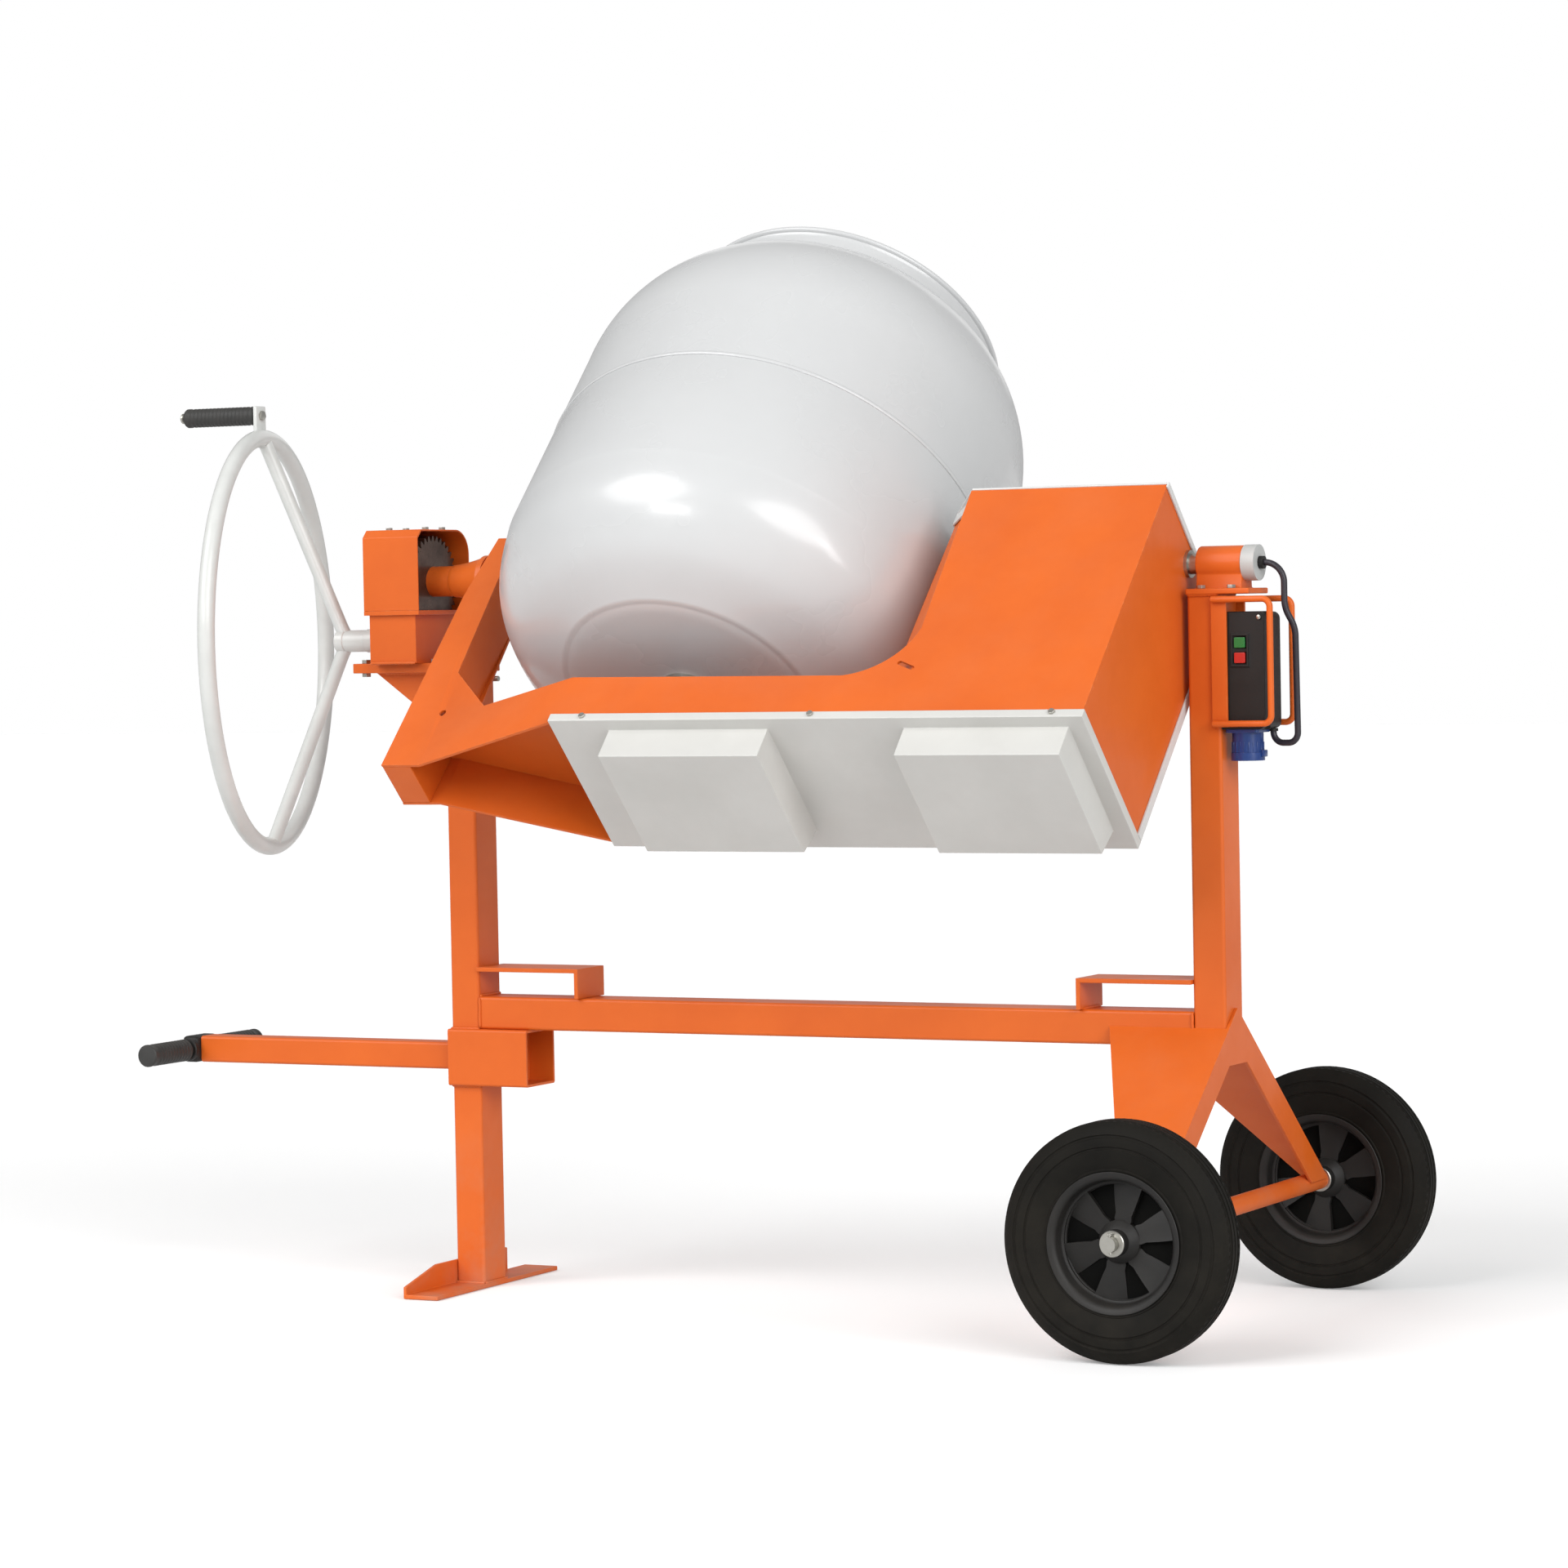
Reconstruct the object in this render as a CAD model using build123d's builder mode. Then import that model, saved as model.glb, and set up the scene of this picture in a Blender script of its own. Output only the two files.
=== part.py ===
from build123d import *
from math import asin, atan2, cos, degrees, hypot, pi, radians, sin, sqrt, tan
import os

os.makedirs("parts", exist_ok=True)

# A towable tilting-drum concrete mixer, in millimetres. X runs along the base beam from the foot
# to the road wheels, Y across the machine towards the pouring side, Z up. The origin is the middle
# of the foot plate, on the ground.

# ---- driving sizes ----------------------------------------------------------------------------
pivot_z = 1308.0          # height of the tilt axis
lean = 45.0               # drum axis from vertical as the machine stands
drum_r = 418.0            # drum outside radius
drum_wall = 4.0
mouth_r = 288.0           # inside radius of the pouring mouth
drum_floor_h = -302.0     # outside of the drum floor, along the drum axis from the tilt axis
drum_seam_h = 130.0       # seam between the lower and the upper shell
drum_shoulder_h = 300.0   # where the cylinder ends and the shoulder begins
drum_mouth_h = 560.0      # top of the shoulder, foot of the mouth band
drum_gap = 50.0           # between the drum and the idle arm
wall_gap = 29.0           # between the drum and the motor box
post_gap = 22.0           # between the foot post and the idle arm
case_gap = 12.0           # between the motor box and the wheel post
mouth_band = 38.0

post_w = 60.0             # posts are rectangular tube, along X
post_d = 80.0             # and along Y
tube_wall = 4.0
beam_h = 60.0
beam_z = 480.0            # underside of the base beam

sleeve = 105.0            # square drawbar sleeve, outside
sleeve_wall = 5.0
sleeve_left = -32.0
sleeve_right = 135.0
bar = 50.0                # square drawbar tube
bar_left = -596.0
bar_right = 90.0
slide_gap = 0.5           # around parts that slide by hand

foot_t = 8.0
foot_len = 442.0
strap_t = 8.0
strap_depth = 100.0
pocket_len = 207.0        # clear length of a fork pocket
pocket_h = 47.0           # clear height of a fork pocket

wheel_r = 200.0
tyre_w = 80.0
rim_r = 112.0             # seat of the tyre on the rim
track = 950.0             # wheel centre to wheel centre
axle_out = 15.0           # axle beyond the wheel post's middle
axle_r = 12.5
axle_tube_r = 17.0
leg_rise = 65.0           # how far the axle legs reach up past the beam's underside
leg_t = 6.0
run_fit = 0.05            # radial clearance of a running fit
gap = 0.4                 # between parts that pass close by

sheet = 5.0               # pressed sheet of the cradle
case_half = 158.0         # half depth of the cradle case, square to the drum axis
case_run = 133.0          # case beyond the drum axis, towards the idle arm
motor_bay = 413.0         # length of the motor box
bearing_drop = 105.0      # drum floor down to the sheet that carries its bearing
case_depth = 103.0        # that sheet down to the open underside of the case
motor_box_top_h = 33.0
arm_width = 58.0
arm_half = 52.0
arm_top_h = 57.0
cover_t = 4.0
bulge = 60.0              # depth of the two raised fields of the drive cover

tilt_module = 4.5
tilt_teeth = 36
tilt_pinion_teeth = 12
drum_module = 4.0
drum_teeth = 48
drum_pinion_teeth = 12
pressure = 25.0           # pressure angle of both gear pairs
backlash = 0.5

trunnion_r = 25.0
idle_trunnion_r = 28.0
cable_trunnion_r = 18.0
drum_shaft_r = 25.0
layshaft_r = 12.0
motor_shaft_r = 14.0
pinion_shaft_r = 14.0
big_pulley_r = 112.0
small_pulley_r = 28.0
belt_t = 8.0
belt_w = 12.0
motor_inset = 181.0       # motor shaft from the far end of the motor box

dish = 177.0              # handwheel ring out from its hub
handwheel_r = 386.0       # to the middle of its tube
handwheel_tube_r = 16.0
ring_twist = 16.0         # the ring stands turned about its two welds, as a two-spoke wheel bends
hub_out = 101.0           # handwheel hub out from the gear housing
grip_r = 18.0
grip_len = 156.0

switch_depth = 76.0
switch_len = 200.0
switch_w = 80.0
lead_r = 5.5

# ---- derived places ----------------------------------------------------------------------------
beam_top = beam_z + beam_h
sleeve_z = beam_z - sleeve / 2
arm_left = post_w / 2 + post_gap
arm_right = arm_left + arm_width
drum_x = arm_right + drum_gap + drum_r
wall_x = drum_x + drum_r + wall_gap
case_left = drum_x - case_run
case_right = wall_x + motor_bay
case_top_h = drum_floor_h - bearing_drop
case_floor_h = case_top_h - case_depth
motor_x = case_right - motor_inset
post_span = case_right + case_gap + post_w / 2
post_left = post_span - post_w / 2
axle_x = post_span + axle_out
leg_apex_z = beam_z + leg_rise
post_right = post_span + post_w / 2
tilt_centres = tilt_module * (tilt_teeth + tilt_pinion_teeth) / 2
pinion_z = pivot_z - tilt_centres
drum_centres = drum_module * (drum_teeth + drum_pinion_teeth) / 2
layshaft_x = drum_x + drum_centres
wheel_y = track / 2
axle_z = wheel_r
drum_inner_r = drum_r - drum_wall
mouth_top_h = drum_mouth_h + mouth_band

axis_dir = Vector(0, sin(radians(lean)), cos(radians(lean)))
across_dir = Vector(0, cos(radians(lean)), -sin(radians(lean)))
pivot = Vector(0, 0, pivot_z)
cradle = Plane(origin=pivot, x_dir=(1, 0, 0), z_dir=axis_dir)
drum_plane = Plane(origin=pivot + Vector(drum_x, 0, 0), x_dir=(1, 0, 0), z_dir=axis_dir)


def level(h):
    """Plane square to the drum axis, h along it: sketches in X and across."""
    return cradle.offset(h)


def front(v):
    """Plane parallel to the drum axis and the tilt axis: sketches in X and along the drum axis."""
    return Plane(origin=pivot + across_dir * v, x_dir=(1, 0, 0), z_dir=across_dir * -1)


def side(x):
    """Plane square to the tilt axis: sketches across and along the drum axis."""
    return Plane(origin=pivot + Vector(x, 0, 0), x_dir=across_dir, z_dir=(1, 0, 0))


def section(x):
    """Upright plane square to the base beam: sketches in Y and Z."""
    return Plane(origin=(x, 0, 0), x_dir=(0, 1, 0), z_dir=(1, 0, 0))


def elevation(y):
    """Upright plane along the base beam: sketches in X and Z, facing the front."""
    return Plane(origin=(0, y, 0), x_dir=(1, 0, 0), z_dir=(0, -1, 0))


def turned(x, h):
    """Plane through the drum axis for revolved profiles: radius along X, height along the axis."""
    return Plane(origin=pivot + Vector(x, 0, 0) + axis_dir * h, x_dir=(1, 0, 0), z_dir=across_dir * -1)


def spin_axis(x):
    return Axis(pivot + Vector(x, 0, 0), axis_dir)


def cross_axis(z, x=0.0, y=0.0):
    return Axis((x, y, z), (1, 0, 0))


def write(shape, name):
    shape.label = name
    export_step(shape, "parts/" + name + ".step")


def outline(*points):
    """Closed straight-sided face from its corners, in the current sketch."""
    Polygon(*points, align=None)


def ring(plane, outer, inner, length):
    """Round tube or washer standing on a plane."""
    with BuildPart() as body:
        with BuildSketch(plane):
            Circle(outer)
            Circle(inner, mode=Mode.SUBTRACT)
        extrude(amount=length)
    return body.part


def rod(plane, radius, length):
    with BuildPart() as body:
        with BuildSketch(plane):
            Circle(radius)
        extrude(amount=length)
    return body.part


def square_tube(plane, width, height, wall, length):
    with BuildPart() as body:
        with BuildSketch(plane):
            RectangleRounded(width, height, wall * 1.5)
            RectangleRounded(width - 2 * wall, height - 2 * wall, wall * 0.5, mode=Mode.SUBTRACT)
        extrude(amount=length)
    return body.part


def tooth_points(module, teeth, phase):
    """Corners of an involute gear, three points on each flank."""
    pitch_r = module * teeth / 2
    base_r = pitch_r * cos(radians(pressure))
    tip_r = pitch_r + module * 0.95
    root_r = pitch_r - module * 1.25
    slack = backlash / 2 / pitch_r
    half_pitch = pi / 2 / teeth - slack / 2
    involute = tan(radians(pressure)) - radians(pressure)

    def half_angle(r):
        if r <= base_r:
            return half_pitch + involute
        roll = sqrt((r / base_r) ** 2 - 1)
        return half_pitch + involute - (roll - atan2(roll, 1))

    flank = [max(root_r, base_r), pitch_r, tip_r]
    points = []
    for number in range(teeth):
        middle = phase + 2 * pi * number / teeth
        radii = [root_r] + flank + flank[::-1] + [root_r]
        signs = [-1] * (len(flank) + 1) + [1] * (len(flank) + 1)
        for r, sign in zip(radii, signs):
            angle = middle + sign * half_angle(r)
            point = (r * cos(angle), r * sin(angle))
            if not points or hypot(point[0] - points[-1][0], point[1] - points[-1][1]) > 0.01:
                points.append(point)
    return points


def gear(plane, module, teeth, phase, bore, width):
    with BuildPart() as body:
        with BuildSketch(plane):
            outline(*tooth_points(module, teeth, phase))
            if bore:
                Circle(bore, mode=Mode.SUBTRACT)
        extrude(amount=width)
    return body.part


# ---- base frame --------------------------------------------------------------------------------
rib_t = 6.0
rib_low = 22.0
rib_high = 50.0


def build_foot_plate():
    with BuildPart() as foot_plate:
        with BuildSketch(Plane.XY):
            Rectangle(post_w + 2 * rib_t, foot_len)
        extrude(amount=foot_t)
        with BuildSketch(section(-post_w / 2 - rib_t)):
            outline(
                (-foot_len / 2, foot_t),
                (-foot_len / 2, rib_low),
                (-foot_len / 4, rib_high),
                (foot_len / 3, rib_high),
                (foot_len / 3, foot_t),
            )
        extrude(amount=rib_t)
    write(foot_plate.part, "foot_plate")


def build_posts():
    lower = square_tube(Plane.XY.offset(foot_t), post_w, post_d, tube_wall, beam_z - sleeve - foot_t)
    write(lower, "lower_leg")
    upper = square_tube(Plane.XY.offset(beam_z), post_w, post_d, tube_wall, gear_plate_z - beam_z)
    write(upper, "left_post")
    foot = Plane(origin=(post_span, 0, beam_z), x_dir=(1, 0, 0), z_dir=(0, 0, 1))
    write(square_tube(foot, post_w, post_d, tube_wall, post_top_z - beam_z), "right_post")


def build_base_beam():
    start = Plane(origin=(post_w / 2, 0, beam_z + beam_h / 2), x_dir=(0, 1, 0), z_dir=(1, 0, 0))
    beam = square_tube(start, post_d, beam_h, tube_wall, post_left - post_w / 2)
    write(beam, "base_beam")


def build_fork_straps():
    """Two flat loops on the beam, one beside each post, that take a lifting fork."""
    with BuildPart() as fork_straps:
        for post_face, way in ((post_w / 2, 1), (post_left, -1)):
            inner = post_face + way * pocket_len
            outer = inner + way * strap_t
            top = beam_top + pocket_h
            with BuildSketch(elevation(strap_depth / 2)):
                outline(
                    (post_face, top),
                    (inner, top),
                    (inner, beam_top),
                    (outer, beam_top),
                    (outer, top + strap_t),
                    (post_face, top + strap_t),
                )
            extrude(amount=strap_depth)
    write(fork_straps.part, "fork_straps")


guide_t = 8.0
clamp_x = 92.0 - 45.0
clamp_r = 6.0


def build_drawbar_sleeve():
    hole = bar + 2 * slide_gap
    start = Plane(origin=(sleeve_left, 0, sleeve_z), x_dir=(0, 1, 0), z_dir=(1, 0, 0))
    clear = sleeve - 2 * sleeve_wall
    with BuildPart() as drawbar_sleeve:
        with BuildSketch(start):
            RectangleRounded(sleeve, sleeve, sleeve_wall)
            Rectangle(clear, clear, mode=Mode.SUBTRACT)
        extrude(amount=sleeve_right - sleeve_left)
        for x in (sleeve_left, sleeve_right - 60.0):
            with BuildSketch(Plane(origin=(x, 0, sleeve_z), x_dir=(0, 1, 0), z_dir=(1, 0, 0))):
                Rectangle(clear, clear)
                Rectangle(hole, hole, mode=Mode.SUBTRACT)
            extrude(amount=guide_t)
        with BuildSketch(Plane(origin=(clamp_x, sleeve / 2, sleeve_z), x_dir=(1, 0, 0), z_dir=(0, 1, 0))):
            Circle(clamp_r + 7)
        extrude(amount=12)
        with BuildSketch(Plane(origin=(clamp_x, sleeve / 4, sleeve_z), x_dir=(1, 0, 0), z_dir=(0, 1, 0))):
            Circle(clamp_r + run_fit)
        extrude(amount=sleeve, mode=Mode.SUBTRACT)
    write(drawbar_sleeve.part, "drawbar_sleeve")


def build_clamp_screw():
    """Hand screw that pinches the drawbar from the rear of its sleeve."""
    tip = bar / 2 + gap
    head = sleeve / 2 + 12 + 4
    plane = Plane(origin=(clamp_x, tip, sleeve_z), x_dir=(1, 0, 0), z_dir=(0, 1, 0))
    with BuildPart() as clamp_screw:
        with BuildSketch(plane):
            Circle(clamp_r)
        extrude(amount=head - tip)
        with BuildSketch(plane.offset(head - tip)):
            SlotOverall(64, 16)
        extrude(amount=9)
    write(clamp_screw.part, "clamp_screw")


handle_r = 15.0
handle_half = 180.0
tow_grip_r = 21.0
handle_x = bar_left - handle_r


def build_drawbar():
    start = Plane(origin=(bar_left, 0, sleeve_z), x_dir=(0, 1, 0), z_dir=(1, 0, 0))
    write(square_tube(start, bar, bar, tube_wall, bar_right - bar_left), "drawbar")
    socket = 52.0
    with BuildPart() as tow_handle:
        with BuildSketch(Plane(origin=(handle_x, -handle_half, sleeve_z), x_dir=(1, 0, 0), z_dir=(0, 1, 0))):
            Circle(handle_r)
        extrude(amount=2 * handle_half)
        with BuildSketch(Plane(origin=(bar_left - 2 * handle_r - 6, 0, sleeve_z), x_dir=(0, 1, 0), z_dir=(1, 0, 0))):
            RectangleRounded(76, socket, 12)
        extrude(amount=2 * handle_r + 6)
    write(tow_handle.part, "tow_handle")
    with BuildPart() as tow_grips:
        for sign in (-1, 1):
            base = Plane(origin=(handle_x, sign * 60, sleeve_z), x_dir=(1, 0, 0), z_dir=(0, sign, 0))
            with BuildSketch(base):
                Circle(tow_grip_r)
            extrude(amount=handle_half - 60 + 6)
            with BuildSketch(base):
                Circle(handle_r)
            extrude(amount=handle_half - 60, mode=Mode.SUBTRACT)
        edges = tow_grips.edges().filter_by(GeomType.CIRCLE).group_by(SortBy.RADIUS)[-1]
        fillet(edges, 3)
    write(tow_grips.part, "tow_grips")


# ---- axle --------------------------------------------------------------------------------------
leg_foot_y = track / 2 - 51
leg_slope = (leg_apex_z - axle_z) / (leg_foot_y + 6)


def leg_z(y):
    return leg_apex_z - leg_slope * y


def build_axle_frame():
    """Two pressed legs from the beam to the axle, and the web that ties them under the post."""
    low = axle_z + 5
    foot_y = (leg_apex_z - low) / leg_slope
    foot_w = 80.0
    web_low = leg_apex_z - 97
    inner_y = foot_y - foot_w - (web_low - low) / leg_slope
    with BuildPart() as axle_frame:
        with BuildSketch(section(post_right)):
            outline(
                (-foot_y, low),
                (0, leg_apex_z),
                (foot_y, low),
                (foot_y - foot_w, low),
                (inner_y, web_low),
                (-inner_y, web_low),
                (-foot_y + foot_w, low),
            )
        extrude(amount=leg_t)
        for sign in (-1, 1):
            near = post_d / 2
            with BuildSketch(section(post_right - 217)):
                outline(
                    (sign * near, leg_z(near)),
                    (sign * foot_y, low),
                    (sign * (foot_y - leg_t * 1.6), low),
                    (sign * near, leg_z(near) - leg_t * 1.28),
                )
            extrude(amount=217)
        with BuildSketch(elevation(foot_y + 10)):
            outline(
                (post_right - 230, leg_apex_z + 5),
                (post_right - 217, leg_apex_z),
                (post_right - 217, leg_z(post_d / 2)),
                (axle_x - 23, low),
                (axle_x - 23, low - 5),
                (post_right - 230, low - 5),
            )
        extrude(amount=2 * foot_y + 20, mode=Mode.SUBTRACT)
        with BuildSketch(Plane(origin=(axle_x, -foot_y - 10, axle_z), x_dir=(1, 0, 0), z_dir=(0, 1, 0))):
            Circle(axle_tube_r)
        extrude(amount=2 * foot_y + 20, mode=Mode.SUBTRACT)
    write(axle_frame.part, "axle_frame")


hub_len = 74.0
washer_t = 4.0
tube_end = wheel_y - hub_len / 2 - washer_t - gap


def across(x, y, z):
    return Plane(origin=(x, y, z), x_dir=(1, 0, 0), z_dir=(0, 1, 0))


def build_axle():
    tube = ring(across(axle_x, -tube_end, axle_z), axle_tube_r, axle_r, 2 * tube_end)
    write(tube, "axle_tube")
    shaft_end = wheel_y + hub_len / 2 + washer_t + 14
    pin_y = shaft_end - 7
    with BuildPart() as axle_shaft:
        with BuildSketch(across(axle_x, -shaft_end, axle_z)):
            Circle(axle_r)
        extrude(amount=2 * shaft_end)
        for sign in (-1, 1):
            with BuildSketch(Plane(origin=(axle_x, sign * pin_y, axle_z - 20), x_dir=(1, 0, 0), z_dir=(0, 0, 1))):
                Circle(2.2)
            extrude(amount=40, mode=Mode.SUBTRACT)
    write(axle_shaft.part, "axle_shaft")
    with BuildPart() as wheel_retainers:
        for sign in (-1, 1):
            for y in (tube_end, wheel_y + hub_len / 2 + gap):
                start = min(sign * y, sign * (y + washer_t))
                with BuildSketch(across(axle_x, start, axle_z)):
                    Circle(22)
                    Circle(axle_r + gap, mode=Mode.SUBTRACT)
                extrude(amount=washer_t)
            with BuildSketch(Plane(origin=(axle_x, sign * pin_y, axle_z - 18), x_dir=(1, 0, 0), z_dir=(0, 0, 1))):
                Circle(2)
            extrude(amount=38)
    write(wheel_retainers.part, "wheel_retainers")


def build_wheel(sign, name):
    middle = sign * wheel_y
    flat = Plane(origin=(axle_x, middle, axle_z), x_dir=(1, 0, 0), z_dir=(0, 0, 1))
    turn = Axis((axle_x, middle, axle_z), (0, 1, 0))
    half = tyre_w / 2
    bulge_r = rim_r + 38
    shoulder_r = wheel_r - 22
    tread_r = wheel_r - 6
    with BuildPart() as tyre:
        with BuildSketch(flat):
            with BuildLine():
                Polyline((rim_r, -31), (rim_r, 31), (rim_r + 7, 35))
                Spline((rim_r + 7, 35), (bulge_r, half), (shoulder_r, half - 2), (tread_r, half - 10))
                Polyline((tread_r, half - 10), (wheel_r, half - 17), (wheel_r, -half + 17), (tread_r, -half + 10))
                Spline((tread_r, -half + 10), (shoulder_r, -half + 2), (bulge_r, -half), (rim_r + 7, -35))
                Line((rim_r + 7, -35), (rim_r, -31))
            make_face()
        revolve(axis=turn)
        for y in (-12, 0, 12):
            with BuildSketch(flat):
                with Locations((wheel_r, y)):
                    Rectangle(8, 4)
            revolve(axis=turn, mode=Mode.SUBTRACT)
    write(tyre.part, "tyre_" + name)
    hub_r = 27.0
    well_r = rim_r - 14
    with BuildPart() as rim:
        with BuildSketch(flat):
            outline(
                (axle_r + run_fit, -hub_len / 2),
                (hub_r, -hub_len / 2),
                (hub_r, -6),
                (well_r, -9),
                (well_r, -30),
                (rim_r + 6, -38),
                (rim_r, -31),
                (rim_r, 31),
                (rim_r + 6, 38),
                (well_r, 30),
                (well_r, 9),
                (hub_r, 6),
                (hub_r, hub_len / 2),
                (axle_r + run_fit, hub_len / 2),
            )
        revolve(axis=turn)
        with BuildSketch(across(axle_x, middle - 20, axle_z)):
            with PolarLocations(0, 6, start_angle=10):
                outline((hub_r + 11, -6), (well_r - 6, -22), (well_r - 3, 0), (well_r - 6, 22), (hub_r + 11, 6))
        extrude(amount=40, mode=Mode.SUBTRACT)
    write(rim.part, "rim_" + name)


# ---- tilt gear on the foot post ------------------------------------------------------------------
gear_plate_t = 18.0
gear_plate_z = pinion_z - 60
housing_z = gear_plate_z + gear_plate_t
housing_left = -161.0
housing_right = -62.0
flange_z = pinion_z + 47
flange_t = 8.0
wall = 6.0
bush_t = 5.0
gear_right = -72.0
gear_w = 26.0
gear_tip_r = tilt_module * (tilt_teeth / 2 + 0.95)
pinion_tip_r = tilt_module * (tilt_pinion_teeth / 2 + 0.95)
cover_t_gear = 3.0
cover_left = -168.0
cover_right = -50.0
cover_half = gear_tip_r + 8
housing_half = cover_half - 8
cover_top = pivot_z + gear_tip_r + 11
hub_x = housing_left - hub_out
handwheel_x = hub_x - dish


def build_gear_base():
    with BuildPart() as gear_base:
        with BuildSketch(Plane.XY.offset(gear_plate_z)):
            with Locations(((post_w / 2 - 214) / 2, 0)):
                Rectangle(post_w / 2 + 214, 2 * 62)
        extrude(amount=gear_plate_t)
        for y in (-34, 28):
            with BuildSketch(elevation(y + 6)):
                outline((-180, gear_plate_z), (-post_w / 2, gear_plate_z), (-post_w / 2, gear_plate_z - 110))
            extrude(amount=6)
    write(gear_base.part, "gear_base")


bearing_plate_t = 10.0
bearing_plates = (housing_left + 10, gear_right - gear_w - 18)


def build_gear_housing():
    """Lower box with the pinion, and the two plates above and in it that carry both shafts."""
    length = housing_right - housing_left
    middle = (housing_right + housing_left) / 2
    flange_top = flange_z + flange_t
    with BuildPart() as gear_housing:
        with BuildSketch(Plane.XY.offset(housing_z)):
            with Locations((middle, 0)):
                Rectangle(length, 2 * housing_half)
                Rectangle(length - 2 * wall, 2 * housing_half - 2 * wall, mode=Mode.SUBTRACT)
        extrude(amount=flange_z - housing_z)
        with BuildSketch(Plane.XY.offset(flange_z)):
            with Locations(((cover_left + cover_right) / 2, 0)):
                Rectangle(cover_right - cover_left, 2 * cover_half)
            with Locations((gear_right - gear_w / 2, 0)):
                Rectangle(gear_w + 10, 2 * housing_half - 2 * wall, mode=Mode.SUBTRACT)
        extrude(amount=flange_t)
        for x in bearing_plates:
            with BuildSketch(section(x)):
                outline((-46, flange_top), (46, flange_top), (40, pivot_z + 37), (-40, pivot_z + 37))
            extrude(amount=bearing_plate_t)
        with BuildSketch(section(bearing_plates[1])):
            with Locations((0, (housing_z + flange_z) / 2)):
                Rectangle(2 * housing_half - 2 * wall, flange_z - housing_z)
        extrude(amount=bearing_plate_t)
        with BuildSketch(section(cover_left)):
            with Locations((0, pivot_z)):
                Circle(trunnion_r + bush_t)
            with Locations((0, pinion_z)):
                Circle(pinion_shaft_r + bush_t)
        extrude(amount=gear_right - cover_left, mode=Mode.SUBTRACT)
    write(gear_housing.part, "gear_housing")


def build_gear_cover():
    """Hood over the tilt gear, left open towards the drum."""
    base = flange_z + flange_t
    t = cover_t_gear
    with BuildPart() as gear_cover:
        with BuildSketch(section(cover_left)):
            with Locations((0, (base + cover_top) / 2)):
                Rectangle(2 * cover_half, cover_top - base)
            corners = vertices().group_by(Axis.Y)[-1].sort_by(Axis.X)
            chamfer(corners[0], 14)
            fillet(vertices().group_by(Axis.Y)[-1].sort_by(Axis.X)[-1], 46)
        extrude(amount=cover_right - cover_left)
        with BuildSketch(section(cover_left + t)):
            with Locations((0, (base + cover_top - t) / 2)):
                Rectangle(2 * cover_half - 2 * t, cover_top - t - base)
            corners = vertices().group_by(Axis.Y)[-1].sort_by(Axis.X)
            chamfer(corners[0], 14)
            fillet(vertices().group_by(Axis.Y)[-1].sort_by(Axis.X)[-1], 46 - t)
        extrude(amount=cover_right - cover_left, mode=Mode.SUBTRACT)
    write(gear_cover.part, "gear_cover")


def build_bushes():
    with BuildPart() as bushes:
        for x in bearing_plates:
            with BuildSketch(section(x)):
                with Locations((0, pivot_z)):
                    Circle(trunnion_r + bush_t)
                    Circle(trunnion_r + run_fit, mode=Mode.SUBTRACT)
            extrude(amount=bearing_plate_t)
        for x, length in ((housing_left, wall), (bearing_plates[1], bearing_plate_t)):
            with BuildSketch(section(x)):
                with Locations((0, pinion_z)):
                    Circle(pinion_shaft_r + bush_t)
                    Circle(pinion_shaft_r + run_fit, mode=Mode.SUBTRACT)
            extrude(amount=length)
        with BuildSketch(section(bearing_left)):
            with Locations((0, pivot_z)):
                Circle(cable_trunnion_r + bush_t)
                Circle(cable_trunnion_r + run_fit, mode=Mode.SUBTRACT)
        extrude(amount=bearing_right - bearing_left)
    write(bushes.part, "bushes")


def build_housing_bolts():
    """Bolt heads of the gear base and cover, and the stop bolt on the post."""
    with BuildPart() as housing_bolts:
        with BuildSketch(Plane.XY.offset(housing_z)):
            with Locations((-198, -40), (-198, 40), (-45, -46), (-45, 46), (-8, -25), (-8, 25)):
                RegularPolygon(9, 6)
        extrude(amount=7)
        with BuildSketch(Plane.XY.offset(gear_plate_z - 7)):
            with Locations((-198, -40), (-198, 40)):
                RegularPolygon(9, 6)
        extrude(amount=7)
        with BuildSketch(Plane.XY.offset(cover_top)):
            places = [(x, y) for x in (cover_left + 20, cover_right - 20) for y in (-30, 30)]
            with Locations(*places):
                RegularPolygon(7, 6)
        extrude(amount=5)
        with BuildSketch(section(post_w / 2)):
            with Locations((26, gear_plate_z - 14)):
                Circle(5)
        extrude(amount=18)
        with BuildSketch(Plane.XY.offset(post_top_z + seat_t)):
            with Locations(*[(x, y) for x in (bearing_left + 14, bearing_right - 14) for y in (-37, 37)]):
                RegularPolygon(8, 6)
        extrude(amount=6)
    write(housing_bolts.part, "housing_bolts")


def build_pinion_shaft():
    """Pinion and its shaft, out through the bearing flange to the handwheel."""
    shaft_left = hub_x - 16
    with BuildPart() as pinion_shaft:
        with BuildSketch(section(shaft_left)):
            with Locations((0, pinion_z)):
                Circle(pinion_shaft_r)
        extrude(amount=gear_right - shaft_left)
        face = Plane(origin=(gear_right - gear_w - 1, 0, pinion_z), x_dir=(0, 1, 0), z_dir=(1, 0, 0))
        with BuildSketch(face):
            outline(*tooth_points(tilt_module, tilt_pinion_teeth, pi / tilt_pinion_teeth))
        extrude(amount=gear_w + 2)
        with BuildSketch(section(housing_left - 11)):
            with Locations((0, pinion_z)):
                Circle(41)
        extrude(amount=10)
    write(pinion_shaft.part, "pinion_shaft")


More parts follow.
